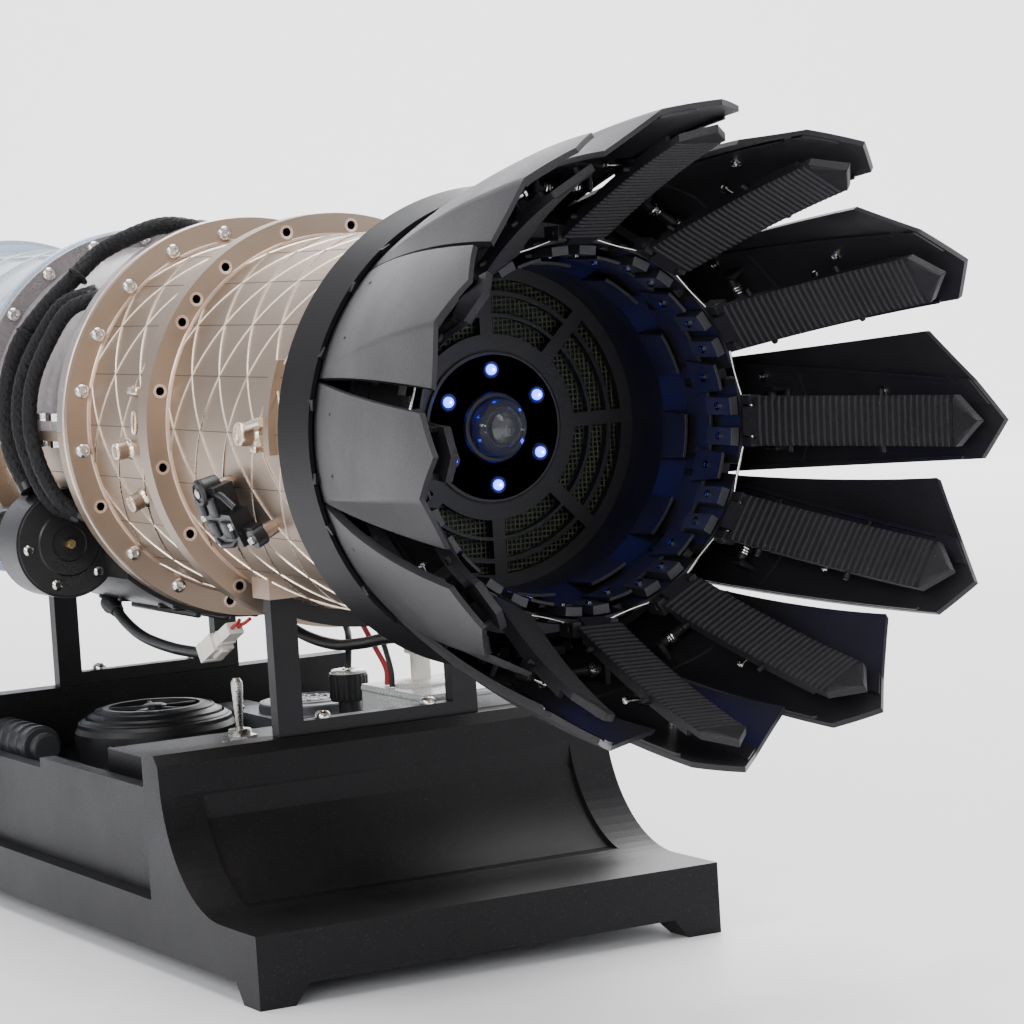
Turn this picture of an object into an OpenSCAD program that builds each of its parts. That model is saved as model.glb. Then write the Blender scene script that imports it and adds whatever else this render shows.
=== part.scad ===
// Desk-stand model of an afterburning turbofan with a working petal nozzle.
// +X runs along the engine axis to the exhaust, +Z is up, the stand rests on Z = 0
// and the origin is at mid-length. Angles round the engine start at the top and
// grow towards +Y.

/* [Engine] */
// Height of the engine axis above the table
axis_h = 128.35; // [126:0.05:132]
// Outer radius of the main bolted flange
flange_r = 52; // [51.5:0.1:52.5]
// Outer radius of the champagne rear casing
case_r = 46; // [45.8:0.1:46.2]
// Radius of the bolt circle of the main flange
bolt_circle_r = 48.5; // [48.4:0.1:48.9]
// Outer radius of the rear flange
flange_2_r = 51.5; // [51.3:0.1:51.7]
// Radius of the hole circle of the rear flange
bolt_circle_2_r = 48.6; // [48.4:0.1:48.8]

/* [Nozzle] */
// Number of petals round the nozzle
petals = 12; // [12:1:12]
// Angle of the first petal from the top
petal_offset = 1.5; // [0:0.5:3]
// Distance from the axis to a petal's hinge pin
flap_hinge_r = 50.2; // [50:0.1:50.4]
// Distance from the axis to a ridged strip's hinge pin
strip_hinge_r = 43; // [42.8:0.1:43.2]
// Width of a ridged inner strip
strip_w = 11; // [9:0.5:12]

/* [Stand] */
// Width of the stand
stand_w = 122.7; // [120:0.1:126]
// Half of the stand's length
stand_half_l = 131.45; // [130:0.05:133]
// Height of the stand's end walls
wall_h = 53.1; // [52:0.1:54]
// Height of the skirt above the table between the feet
skirt_gap = 5.8; // [4:0.1:7]

/* [Running fits] */
// Radial clearance of a pin or shaft in its hole
fit_gap = 0.05; // [0.02:0.01:0.08]
// Radius of a petal hinge pin
pin_r = 0.8; // [0.7:0.05:0.9]

/* [Hidden] */
$fn = 64;
e = 0.01;

// Stations along the engine axis
x_front = -250;
x_fan_case = -170;
x_split = -62;
x_flange_1 = 12;
x_flange_2 = 64;
x_ring = 147.8;
x_ring_end = 161;
x_flap_hinge = 161.2;
x_strip_hinge = 188.5;
x_tip = 250.1;

// Radii along the engine axis
shaft_r = 5;
fan_case_r = 46;
clear_r = 46;
screw_r = 1;
head_r = 1.9;

// Gear train: the motor's pinion drives the core spool's ring gear
gear_module = 1;
core_teeth = 84;
pinion_teeth = 24;
pinion_offset_r = gear_module * (core_teeth + pinion_teeth) / 2;
pinion_phi = -124;
gear_x = -22;
gear_w = 6;

// Flap outline: the root and tip half widths, the wing corner and the arrow tip
flap_x0 = 160.5;
flap_root_r = 52;
flap_tip_r = 68.4;
flap_bulge = 2.5;
flap_root_w = 12.9;
flap_tip_w = 8.4;
flap_tip_low_x = 240.7;
flap_tip_high_x = 242.9;
wing_tip_x = 235.4;
wing_tip_w = 10.4;
wing_fold = 5.2;
wing_root_w = 0.3;
flap_t = 1.2;
flap_rows = 10;
flap_cols = 6;
wing_cols = 3;

// Ridged strip, from its hinge to its arrow tip
strip_len = 63.2;
strip_slope = 19.8;
strip_t = 1.4;
strip_arrow = 6;
strip_bow = 1.6;

champagne = [0.72, 0.63, 0.54];
satin_black = [0.09, 0.09, 0.10];
silver = [0.78, 0.78, 0.76];

// ---------- shared shapes ----------

// Puts a child's +Z on the engine axis
module on_axis(x = 0) {
    translate([x, 0, axis_h])
        rotate([0, 90, 0])
            children();
}

// Puts a child's +Z on the outward radius at an angle from the top
module station(phi) {
    translate([0, 0, axis_h])
        rotate([-phi, 0, 0])
            children();
}

// Solid of revolution round the engine axis from [radius, x] points
module spun(points) {
    on_axis()
        rotate_extrude($fn = 96)
            polygon(points);
}

// Plain tube round the engine axis
module tube(x0, x1, r_in, r_out) {
    spun([[r_in, x0], [r_out, x0], [r_out, x1], [r_in, x1]]);
}

// Pin along the axis of a station's tangent
module tangent_pin(x, r_pos, r, w) {
    translate([x, w / 2, r_pos])
        rotate([90, 0, 0])
            cylinder(h = w, r = r, $fn = 32);
}

// Round row of holes or screws on a bolt circle
module bolt_circle(angles, r) {
    for (a = angles)
        station(a)
            translate([0, 0, r])
                rotate([0, 90, 0])
                    children();
}

function on_circle(r, a) = [r * cos(a), r * sin(a)];

// Star outline of a bladed disc
function blade_outline(n, r_hub, r_tip) = [
    for (i = [0:n - 1], c = [[r_hub, -0.35], [r_tip, -0.35], [r_tip, 0.35], [r_hub, 0.35]])
        on_circle(c[0], (i + c[1]) * 360 / n)
];

module bladed_disc(x, w, n, r_hub, r_tip) {
    on_axis(x)
        linear_extrude(w)
            polygon(blade_outline(n, r_hub, r_tip));
}

// Trapezoid gear teeth round the pitch circle
function gear_outline(teeth, m) = let (rp = teeth * m / 2) [
    for (i = [0:teeth - 1], c = [[-1.15, -0.36], [0.9, -0.13], [0.9, 0.13], [-1.15, 0.36]])
        on_circle(rp + c[0] * m, (i + c[1]) * 360 / teeth)
];

// Smooth route through hand-placed points
function smooth_point(p, i, t) = let (
    a = p[max(i - 1, 0)],
    b = p[i],
    c = p[i + 1],
    d = p[min(i + 2, len(p) - 1)]
) 0.5 * (2 * b + (c - a) * t + (2 * a - 5 * b + 4 * c - d) * t * t
         + (3 * b - a - 3 * c + d) * t * t * t);

function smooth_route(p, steps) = [
    for (i = [0:len(p) - 2], k = [0:steps - 1]) smooth_point(p, i, k / steps),
    p[len(p) - 1]
];

function unit(v) = v / norm(v);

// Engine position from [x, radius, angle from the top]
function polar_point(c) = [
    c[0],
    c[1] * sin(c[2]),
    axis_h + c[1] * cos(c[2])
];

// Closed tube swept along a route
module cord(route, r, sides = 8) {
    n = len(route);
    function tangent(i) = unit(route[min(i + 1, n - 1)] - route[max(i - 1, 0)]);
    function side(i) = let (
        t = tangent(i),
        a = abs(t[2]) < 0.9 ? [0, 0, 1] : [1, 0, 0]
    ) unit(cross(t, a));
    points = [
        for (i = [0:n - 1], k = [0:sides - 1]) let (
            s = side(i),
            b = cross(tangent(i), s),
            a = k * 360 / sides
        ) route[i] + r * (s * cos(a) + b * sin(a))
    ];
    walls = [
        for (i = [0:n - 2], k = [0:sides - 1]) let (k2 = (k + 1) % sides)
            [i * sides + k, i * sides + k2, (i + 1) * sides + k2, (i + 1) * sides + k]
    ];
    start_cap = [for (k = [0:sides - 1]) sides - 1 - k];
    end_cap = [for (k = [0:sides - 1]) (n - 1) * sides + k];
    polyhedron(points, concat([start_cap], walls, [end_cap]), convexity = 4);
}

// ---------- stand ----------

flare_c = [111.5, 48.7];
flare_r = 31.6;
wall_x0 = 70;
rail_y = 57;
rail_h = 43;
deck_h = 36;
shell_t = 3.5;

// Side outline of one end block: lip, concave flare and end wall
function flare_outline() = concat(
    [[wall_x0, skirt_gap - 1], [stand_half_l, skirt_gap - 1], [stand_half_l, 17.2]],
    [for (a = [270:-5:190]) flare_c + flare_r * [cos(a), sin(a)]],
    [[wall_x0 + 9.6, wall_h - 2.5], [wall_x0 + 7.4, wall_h], [wall_x0, wall_h]]
);

module across_y(w) {
    translate([0, w / 2, 0])
        rotate([90, 0, 0])
            linear_extrude(w)
                children();
}

module end_block() {
    difference() {
        across_y(stand_w)
            polygon(flare_outline());
        // hollow underneath, behind the lip
        across_y(stand_w - 2 * shell_t)
            translate([wall_x0 + shell_t, 0])
                square([stand_half_l - wall_x0 - 2 * shell_t, 13.5]);
        // sunk panel in the flare face
        across_y(stand_w - 22)
            intersection() {
                translate(flare_c)
                    circle(r = flare_r + 1.6, $fn = 96);
                translate([80.5, 18.4])
                    square([32, 29]);
            }
    }
    for (s = [0, 1])
        mirror([0, s, 0])
            foot();
}

// Corner foot, flush outside and sloped on its inner flanks
module foot() {
    intersection() {
        across_y(stand_w)
            polygon(foot_outline(stand_half_l));
        translate([stand_half_l - 20, 0, 0])
            rotate([90, 0, 90])
                linear_extrude(20)
                    polygon(foot_outline(stand_w / 2));
    }
}

function foot_outline(edge) = [
    [edge - 9, 0], [edge, 0], [edge, skirt_gap + 0.5], [edge - 14, skirt_gap + 0.5]
];

module stand_base() {
    color(satin_black) difference() {
        union() {
            end_block();
            mirror([1, 0, 0])
                end_block();
            for (s = [0, 1])
                mirror([0, s, 0])
                    side_wall();
            translate([-wall_x0 - 1, -rail_y, deck_h - 3])
                cube([2 * wall_x0 + 2, 2 * rail_y, 3]);
            switch_shelf();
        }
        // switch bushing, bracket screws and cable outlet
        translate([switch_x, switch_y, deck_h + 5])
            cylinder(h = 20, r = 2.9);
        for (x = [-bracket_x, bracket_x], y = [-14.5, 14.5])
            translate([x, y, 40])
                cylinder(h = 20, r = screw_r + 0.05, $fn = 24);
    }
}

// Side wall with its skirt ledge and stepped rail
module side_wall() {
    translate([-wall_x0 - 1, rail_y - 4, 12])
        cube([2 * wall_x0 + 2, 4, rail_h - 12 - 2.7]);
    translate([-12, rail_y - 4, 30])
        cube([wall_x0 + 13, 4, rail_h - 30]);
    translate([-wall_x0 - 1, rail_y - 4, skirt_gap - 1])
        cube([2 * wall_x0 + 2, stand_w / 2 - rail_y + 4, 17.2 - skirt_gap + 1]);
}

switch_x = 35;
switch_y = -20;
shelf_h = 47;

module switch_shelf() {
    difference() {
        translate([14, -48, deck_h - 1])
            cube([57, 50, shelf_h - deck_h + 1]);
        translate([17, -45, deck_h - 2])
            cube([57, 44, shelf_h - deck_h - 1]);
    }
}

bracket_x = 74;
bracket_t = 4;
post_y = 27.4;
post_w = 6.8;
bar_h = 3.4;
cradle_arc_r = 50.6;
bracket_top = 87.3;

// Frame with a lintel that follows the engine's underside
module bracket(x, relief_r) {
    color(satin_black) difference() {
        translate([x - bracket_t / 2, 0, 0])
            rotate([90, 0, 90])
                linear_extrude(bracket_t)
                    difference() {
                        translate([-post_y, wall_h])
                            square([2 * post_y, bracket_top - wall_h]);
                        difference() {
                            translate([-post_y + post_w, wall_h + bar_h])
                                square([2 * (post_y - post_w), 40]);
                            translate([0, axis_h])
                                circle(r = cradle_arc_r, $fn = 128);
                        }
                        translate([0, axis_h])
                            circle(r = relief_r, $fn = 128);
                    }
        for (y = [-14.5, 14.5])
            translate([x, y, wall_h - 1])
                cylinder(h = bar_h + 2, r = screw_r + 0.05, $fn = 24);
    }
}

module rear_bracket() {
    bracket(bracket_x, case_r + 0.6);
}

module front_bracket() {
    bracket(-bracket_x, fan_case_r + 0.2);
}

// ---------- tray ----------

module switch_body() {
    color(silver) difference() {
        union() {
            translate([switch_x, switch_y, deck_h + 6])
                cylinder(h = 8.5, r = 2.8);
            translate([switch_x, switch_y, shelf_h])
                cylinder(h = 2, r = 4.4, $fn = 6);
            translate([switch_x, switch_y, shelf_h])
                cylinder(h = 0.5, r = 5);
            translate([switch_x - 4, switch_y - 6, deck_h + 1])
                cube([8, 12, 6]);
        }
        translate([switch_x, switch_y, shelf_h + 2.4])
            sphere(r = 1.9 + fit_gap);
        translate([switch_x, switch_y, shelf_h + 2.4])
            cylinder(h = 4, r = 2.2);
    }
}

module switch_lever() {
    color(silver) translate([switch_x, switch_y, shelf_h + 2.4]) {
        sphere(r = 1.9);
        rotate_extrude()
            polygon([[0, 1], [0.9, 1], [1.5, 11.2], [1.5, 13.2], [0.9, 14.2], [0, 14.2]]);
    }
}

blower_x = -34;
blower_y = -15;
blower_r = 22;

module blower_housing() {
    color([0.05, 0.05, 0.055]) difference() {
        union() {
            translate([blower_x, blower_y, deck_h])
                rotate_extrude()
                    polygon([[0, 0], [blower_r, 0], [blower_r, 8], [20, 11], [15.5, 13.5],
                             [14, 14], [0, 14]]);
            translate([blower_x - blower_r, blower_y, deck_h])
                cube([14, 37, 9]);
        }
        translate([blower_x, blower_y, deck_h + 1.5])
            cylinder(h = 10.5, r = blower_r - 3);
        translate([blower_x, blower_y, deck_h + 5])
            cylinder(h = 12, r = 12.5);
        translate([blower_x - blower_r + 1.5, blower_y + 4, deck_h + 1.5])
            cube([11, 35, 6]);
    }
    color([0.05, 0.05, 0.055]) translate([blower_x, blower_y, deck_h])
        cylinder(h = 4, r = 1.5);
}

module blower_impeller() {
    color([0.12, 0.12, 0.13]) difference() {
        translate([blower_x, blower_y, deck_h + 2]) {
            cylinder(h = 1.2, r = 18);
            cylinder(h = 7, r = 5);
            linear_extrude(8)
                difference() {
                    polygon(blade_outline(20, 16.4, 17.8));
                    circle(r = 12);
                }
        }
        translate([blower_x, blower_y, deck_h])
            cylinder(h = 4.1, r = 1.5 + fit_gap);
    }
}

module mist_canister() {
    color([0.16, 0.16, 0.17]) translate([-69, -46, deck_h + 5.6])
        rotate([0, 90, 0]) {
            cylinder(h = 30, r = 5.2);
            for (i = [0:4])
                translate([0, 0, 3 + 6 * i])
                    cylinder(h = 2, r = 5.6);
            translate([0, 0, 30])
                cylinder(h = 4, r = 3.4);
        }
}

speaker_x = -22;
speaker_y = 27;

module speaker() {
    color([0.13, 0.13, 0.14]) difference() {
        union() {
            translate([speaker_x - 18, speaker_y - 18, deck_h])
                cube([36, 36, 9.5]);
            translate([speaker_x, speaker_y, deck_h + 9])
                cylinder(h = 2.3, r = 15);
        }
        translate([speaker_x, speaker_y, deck_h + 9.5])
            rotate_extrude()
                polygon([[8, 0], [13, 0], [13, 4], [8, 4]]);
    }
    color([0.1, 0.1, 0.1]) translate([speaker_x, speaker_y, deck_h + 9])
        cylinder(h = 3, r = 6);
}

tank_x = 31;
tank_y = 17;
tank_h = 21.5;

module water_tank() {
    color([0.85, 0.86, 0.85, 0.6]) difference() {
        translate([tank_x, tank_y, deck_h])
            cube([36, 32, tank_h]);
        translate([tank_x + 1.5, tank_y + 1.5, deck_h + 1.5])
            cube([33, 29, tank_h - 3]);
        translate([tank_x + 15, tank_y + 10, deck_h + tank_h - 3])
            cylinder(h = 5, r = 2);
    }
}

module tank_fittings() {
    color([0.9, 0.89, 0.85]) translate([tank_x + 15, tank_y + 10, deck_h + tank_h])
        rotate_extrude()
            polygon([[1, 0], [6, 0], [6, 1], [2.6, 1.6], [2.6, 8], [4, 8.6], [4, 13], [3.2, 14],
                     [1, 14]]);
    color(satin_black) translate([4, 26, deck_h]) {
        cylinder(h = 14, r = 3);
        translate([0, 0, 14])
            cylinder(h = 7.4, r = 5);
    }
}

// ---------- wiring and hoses ----------

// Leads from the engine's underside down to the tray and the tank
lead_front = [[-50, -19, 77.2], [-38, -19.5, 72.5], [-24, -20, 69.6], [-4, -20, 68.2],
              [16.8, -20, 68.5]];
lead_rear = [[0, 8, 73.9], [14, 10, 69.6], [30, 11, 68.4], [46, 11, 70], [62, 10.5, 72.5],
             [78, 10, 74], [92, 10, 76], [97, 10, 79], [97.5, 10, 82.3]];
lead_pump = [[4, 26, 57.6], [5, 26, 62], [10, 24, 68], [17, 20, 72], [22, 16, 79], [23, 15, 83]];
lead_red = [[40, 20, 57.7], [40, 20, 62], [38, 18, 68], [34, 16, 76], [33, 16, 83]];
lead_black = [[45, 19, 57.7], [45, 19, 62], [43, 18, 70], [40, 17, 78], [40, 17, 83]];

module wiring() {
    color([0.04, 0.04, 0.04]) cord(smooth_route(lead_front, 3), 1.5);
    color([0.04, 0.04, 0.04]) cord(smooth_route(lead_rear, 2), 1.5);
    color([0.04, 0.04, 0.04]) cord(smooth_route(lead_pump, 2), 0.9);
    color([0.5, 0.05, 0.06]) cord(smooth_route(lead_red, 2), 0.7);
    color([0.04, 0.04, 0.04]) cord(smooth_route(lead_black, 2), 0.7);
}

module lead_connectors() {
    color([0.85, 0.83, 0.78]) translate([18, -20, 68.6])
        rotate([0, 62, 8]) {
            translate([-2.4, -3, 0])
                cube([4.8, 6, 8]);
            translate([-1.6, -2.2, 8])
                cube([3.2, 4.4, 8]);
        }
}

// Sleeved hoses that wrap the clear casing, as [x, radius, angle]
hose_a = [[-1, 50.5, -8], [-3, 53, -15], [-6, 54, -23], [-14, 53.8, -33], [-14, 53.8, -44],
          [-20, 53.8, -55], [-27, 53.8, -67], [-28, 53.8, -82], [-26, 53.8, -96],
          [-20, 53.8, -107.4]];
hose_b = [[-6, 48.6, -44], [-9.4, 53, -52], [-14, 53.2, -62], [-19, 53.2, -75],
          [-19.5, 53.2, -88], [-15, 53.2, -100], [-9, 53.2, -111], [-6.4, 48.7, -118]];
hose_c = [[0.6, 48.6, -46], [-3, 53, -54], [-7.5, 53, -64], [-11.6, 53, -76], [-12, 53, -88],
          [-8.6, 53, -100], [-2.6, 53, -110], [0.4, 48.7, -117]];

function polar_route(c, steps) = smooth_route([for (p = c) polar_point(p)], steps);

module oil_hoses() {
    color([0.03, 0.03, 0.03]) cord(polar_route(hose_a, 2), 2.3);
    color([0.03, 0.03, 0.03]) cord(polar_route(hose_b, 2), 2);
    color([0.03, 0.03, 0.03]) cord(polar_route(hose_c, 2), 2);
}

// ---------- front of the engine ----------

module intake_frame() {
    color(silver) difference() {
        union() {
            spun([[45, x_front], [46.5, x_front], [50, x_front + 1.5], [52, x_front + 5],
                  [52, x_front + 14], [48, x_front + 18], [48, x_fan_case - 4],
                  [50.5, x_fan_case - 4], [50.5, x_fan_case], [44.5, x_fan_case],
                  [44.5, x_front + 30], [46, x_front + 10]]);
            // nose bullet and hub
            spun([[0, x_front + 2], [4, x_front + 3], [8, x_front + 7], [11, x_front + 14],
                  [12, x_front + 22], [12, x_front + 34], [0, x_front + 34]]);
            for (a = [0:45:359])
                station(a)
                    translate([x_front + 16, -0.9, 10])
                        cube([16, 1.8, 35.6]);
        }
        on_axis(x_front + 20)
            cylinder(h = 20, r = shaft_r + fit_gap);
    }
}

module fan_rotor() {
    color([0.55, 0.56, 0.58]) {
        on_axis(x_front + 22)
            cylinder(h = 77.7, r = shaft_r);
        spun([[shaft_r - 1, x_front + 36], [16, x_front + 36], [20, x_front + 84],
              [20, x_front + 90], [shaft_r - 1, x_front + 90]]);
        bladed_disc(x_front + 40, 9, 18, 15.4, 43.9);
        bladed_disc(x_front + 58, 8, 22, 17, 43.9);
        bladed_disc(x_front + 75, 7, 26, 18.4, 43.9);
    }
}

module fan_case() {
    color([0.80, 0.82, 0.84]) difference() {
        union() {
            spun([[44.5, x_fan_case], [50.5, x_fan_case], [50.5, x_fan_case + 4],
                  [fan_case_r, x_fan_case + 4], [fan_case_r, x_split - 4], [50.5, x_split - 4],
                  [50.5, x_split], [44.5, x_split]]);
            tube(-156, -144, shaft_r + 1, 11);
            for (a = [0:30:359])
                station(a)
                    translate([-156, -0.8, 9])
                        cube([12, 1.6, 36]);
        }
        on_axis(-160)
            cylinder(h = 30, r = shaft_r + fit_gap);
        // notch for the motor
        motor_axis(-96)
            cylinder(h = 60, r = 7.8);
    }
}

module motor_axis(x) {
    station(pinion_phi)
        translate([x, 0, pinion_offset_r])
            rotate([0, 90, 0])
                children();
}

module core_rotor() {
    color([0.42, 0.40, 0.41]) {
        on_axis(-149.7)
            cylinder(h = 201, r = shaft_r);
        spun([[shaft_r - 1, -138], [20, -138], [25, -40], [25, -26], [shaft_r - 1, -26]]);
        for (i = [0:6])
            bladed_disc(-136 + 15 * i, 7, 24, 19, 43 - 0.3 * i);
        on_axis(gear_x)
            linear_extrude(gear_w)
                difference() {
                    polygon(gear_outline(core_teeth, gear_module));
                    circle(r = 34);
                }
        on_axis(gear_x)
            cylinder(h = 2, r = 36);
        bladed_disc(22, 6, 30, 24, 43.2);
    }
}

// Turns the pinion so that a tooth gap faces the ring gear's tooth
core_tooth_angle = 360 / core_teeth;
pinion_tooth_angle = 360 / pinion_teeth;
contact_angle = 180 - pinion_phi;
core_phase = (contact_angle / core_tooth_angle) - floor(contact_angle / core_tooth_angle);
pinion_phase = 0.5 * pinion_tooth_angle + core_phase * pinion_tooth_angle;

module motor_pinion() {
    color([0.75, 0.62, 0.32]) motor_axis(0) {
        translate([0, 0, -53.5])
            cylinder(h = 44, r = 1.2);
        translate([0, 0, gear_x + 0.5])
            rotate([0, 0, pinion_phase])
                linear_extrude(gear_w - 1)
                    polygon(gear_outline(pinion_teeth, gear_module));
    }
}

module combustor_liner() {
    color([0.30, 0.09, 0.10]) spun([[30, -13], [42.5, -13], [43.5, -9], [43.5, 2], [38, 7.5],
                                    [30, 7.5], [30, 4], [38, 2], [40, -2], [40, -8], [30, -9.5]]);
}

split_flange_y = 50.5;

module clear_case() {
    color([0.75, 0.74, 0.75, 0.45]) difference() {
        intersection() {
            casing_shell();
            translate([-100, -100, axis_h + 0.05])
                cube([200, 200, 100]);
        }
        case_bolt_holes();
    }
}

module lower_case() {
    color(champagne) difference() {
        intersection() {
            casing_shell();
            translate([-100, -100, axis_h - 100.05])
                cube([200, 200, 100]);
        }
        case_bolt_holes();
        motor_axis(gear_x - 6)
            cylinder(h = 22, r = 14.6);
        motor_axis(x_split - 1)
            cylinder(h = 10, r = 7.8);
    }
}

// Casing between the fan case and the main flange, with split flanges at the sides
module casing_shell() {
    difference() {
        union() {
            spun([[43.6, x_split], [50.5, x_split], [50.5, x_split + 3.5], [clear_r, x_split + 3.5],
                  [clear_r, 5], [flange_r, 5], [flange_r, 8.5], [43.6, 8.5]]);
            for (s = [-1, 1])
                translate([x_split + 3, s > 0 ? 44.6 : -split_flange_y, axis_h - 2.6])
                    cube([63.8, split_flange_y - 44.6, 5.2]);
        }
        for (a = flange_angles)
            station(a)
                translate([4, 0, bolt_circle_r])
                    rotate([0, 90, 0])
                        cylinder(h = 6, r = screw_r + 0.05, $fn = 24);
    }
}

case_bolt_x = [for (i = [0:5]) -53 + 9.6 * i];

module case_bolt_holes() {
    for (x = case_bolt_x, s = [-1, 1])
        translate([x, s * 48.3, axis_h - 4])
            cylinder(h = 8, r = screw_r + 0.05, $fn = 24);
}

module case_nuts() {
    color(silver) for (x = case_bolt_x, s = [-1, 1])
        translate([x, s * 48.3, axis_h]) {
            translate([0, 0, -4.4])
                cylinder(h = 8.8, r = screw_r, $fn = 24);
            translate([0, 0, 2.6])
                cylinder(h = 1.8, r = 1.9, $fn = 6);
            translate([0, 0, -4.4])
                cylinder(h = 1.8, r = 1.9, $fn = 6);
        }
}

belly_r = 53;

module gearbox() {
    color([0.06, 0.06, 0.065]) difference() {
        union() {
            // belly box under the lower casing
            intersection() {
                tube(x_split + 5, 4, clear_r + 0.3, belly_r);
                station(180)
                    translate([-80, -26, 20])
                        cube([100, 61, 60]);
            }
            // round lobe over the pinion
            motor_axis(gear_x - 4)
                cylinder(h = 14, r = 14.4);
        }
        tube(gear_x - 8, 20, 1, clear_r + 0.3);
        motor_axis(gear_x - 1.5)
            cylinder(h = 9, r = 13.4);
        motor_axis(gear_x - 8)
            cylinder(h = 20, r = 1.2 + fit_gap);
    }
}

module drive_motor() {
    color([0.60, 0.62, 0.64]) motor_axis(0) difference() {
        union() {
            translate([0, 0, -92])
                cylinder(h = 37, r = 7);
            translate([0, 0, -56])
                cylinder(h = 2, r = 4.6);
            translate([0, 0, -55])
                cylinder(h = 2.4, r = 2.6);
        }
        translate([0, 0, -54])
            cylinder(h = 3, r = 1.2 + fit_gap);
    }
}

// ---------- champagne casings ----------

flange_angles = [for (i = [0:19]) 18 * i - 5.7];
flange_2_angles = [-142, -120, -99, -77, -56, -48, -35, -13, 8, 30, 52, 73, 95, 117, 139, 160, -163];

module turbine_case() {
    color(champagne) difference() {
        union() {
            spun([[44.4, 8.5], [flange_r, 8.5], [flange_r, 12], [case_r, 12], [case_r, 58.4],
                  [flange_2_r, 58.4], [flange_2_r, 61], [44.4, 61]]);
            // rear bearing spider
            tube(46, 51.5, shaft_r + 1, 12);
            for (a = [45:90:359])
                station(a)
                    translate([46, -1.5, 10])
                        cube([5.5, 3, 34.8]);
            case_stub(38, -95, 2.2, 3.6);
            case_stub(38, -111, 2.2, 3.6);
            case_stub(43.5, -77, 1.4, 2);
        }
        on_axis(40)
            cylinder(h = 20, r = shaft_r + fit_gap);
        flange_holes(8, 6, flange_angles, bolt_circle_r);
        flange_holes(58, 4, flange_2_angles, bolt_circle_2_r);
    }
}

module case_stub(x, phi, r, h) {
    station(phi)
        translate([x, 0, case_r - 1])
            cylinder(h = h + 1, r = r, $fn = 24);
}

module flange_holes(x, w, angles, r) {
    bolt_circle(angles, r)
        translate([0, 0, x])
            cylinder(h = w, r = screw_r + 0.05, $fn = 24);
}

saddle_y = 23.8;
post_r = 1.8;
post_h = 4.4;

module afterburner_case() {
    color(champagne) difference() {
        union() {
            spun([[44.4, 61], [flange_2_r, 61], [flange_2_r, x_flange_2], [case_r, x_flange_2],
                  [case_r, 146], [42.6, 146], [42.6, 152], [40.4, 152], [40.4, 144.5],
                  [44.4, 144.5]]);
            // saddle blocks on the rear bracket's posts
            for (s = [-1, 1])
                difference() {
                    translate([bracket_x - 5, s * saddle_y - 5, bracket_top])
                        cube([10, 10, 12]);
                    on_axis(bracket_x - 10)
                        cylinder(h = 20, r = case_r - 0.4);
                }
            // boss with a side stub
            case_stub(114.5, -88, 2.8, 3.4);
            // upright bar beside the nozzle ring
            intersection() {
                tube(124, 127, case_r - 0.6, case_r + 1.8);
                translate([120, -60, axis_h - 3])
                    cube([10, 40, 21.5]);
            }
            // valve posts
            case_stub(97, -103, post_r, post_h);
            case_stub(113, -116, post_r, post_h);
        }
        flange_holes(60, 5, flange_2_angles, bolt_circle_2_r);
    }
}

module valve_block() {
    color([0.07, 0.07, 0.08]) difference() {
        union() {
            station(-103)
                translate([97, 0, case_r + 3.4])
                    cylinder(h = 4.4, r = 3.1);
            station(-107)
                translate([90, -4, case_r + 1.8])
                    cube([13, 8.6, 5]);
            station(-113)
                translate([92, -4.5, case_r + 2.2])
                    cube([16, 8.4, 5]);
            station(-116)
                translate([113, 0, case_r + 3.4])
                    cylinder(h = 3, r = 2.4);
            station(-114.6)
                translate([106, -2, case_r + 3])
                    cube([8, 3.4, 2.6]);
        }
        // sockets over the casing's two posts
        case_stub(97, -103, post_r + 0.05, post_h);
        case_stub(113, -116, post_r + 0.05, post_h);
    }
}

// ---------- screws ----------

// Pan head screw with its head above z = 0 and its shank below
module pan_screw(shank) {
    cylinder(h = 1.3, r = head_r, $fn = 32);
    translate([0, 0, -shank])
        cylinder(h = shank + e, r = screw_r, $fn = 24);
}

module machine_screws() {
    color(silver) {
        // main flange: two of its holes stay empty
        bolt_circle([for (i = [0:19]) if (i != 11 && i != 14) flange_angles[i]], bolt_circle_r)
            translate([0, 0, x_flange_1])
                pan_screw(6.9);
        for (x = [-bracket_x, bracket_x], y = [-14.5, 14.5])
            translate([x, y, wall_h + bar_h])
                pan_screw(8);
        // flange between the fan case and the split casing
        bolt_circle([-52, -34, -16, 2, 20, 38, 56], 48.4)
            translate([0, 0, x_split + 3.5])
                cylinder(h = 1.3, r = head_r, $fn = 32);
        // gearbox lobe
        motor_axis(gear_x + 10)
            for (a = [150, 215, 280])
                rotate([0, 0, a])
                    translate([11.2, 0, 0])
                        cylinder(h = 1.3, r = 1.6, $fn = 32);
    }
}

// ---------- nozzle ----------

function petal_phi(i) = petal_offset + (i - 1) * 360 / petals;

module nozzle_ring() {
    color(satin_black) difference() {
        union() {
            spun([[42.65, x_ring], [54.6, x_ring], [55.1, x_ring + 0.5], [53.6, x_ring_end],
                  [52.6, x_ring_end], [52.9, x_ring + 3], [42.65, x_ring + 3]]);
            for (i = [1:petals])
                station(petal_phi(i))
                    for (s = [-1, 1])
                        translate([158.4, s * 8 - 1.2, 48.6])
                            cube([4, 2.4, 4.3]);
        }
        for (i = [1:petals])
            station(petal_phi(i))
                tangent_pin(x_flap_hinge, flap_hinge_r, pin_r + fit_gap, 22);
    }
}

horn_drop = 5.7;
ring_travel = horn_drop * sin(12);
sleeve_r = 42.8;

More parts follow.
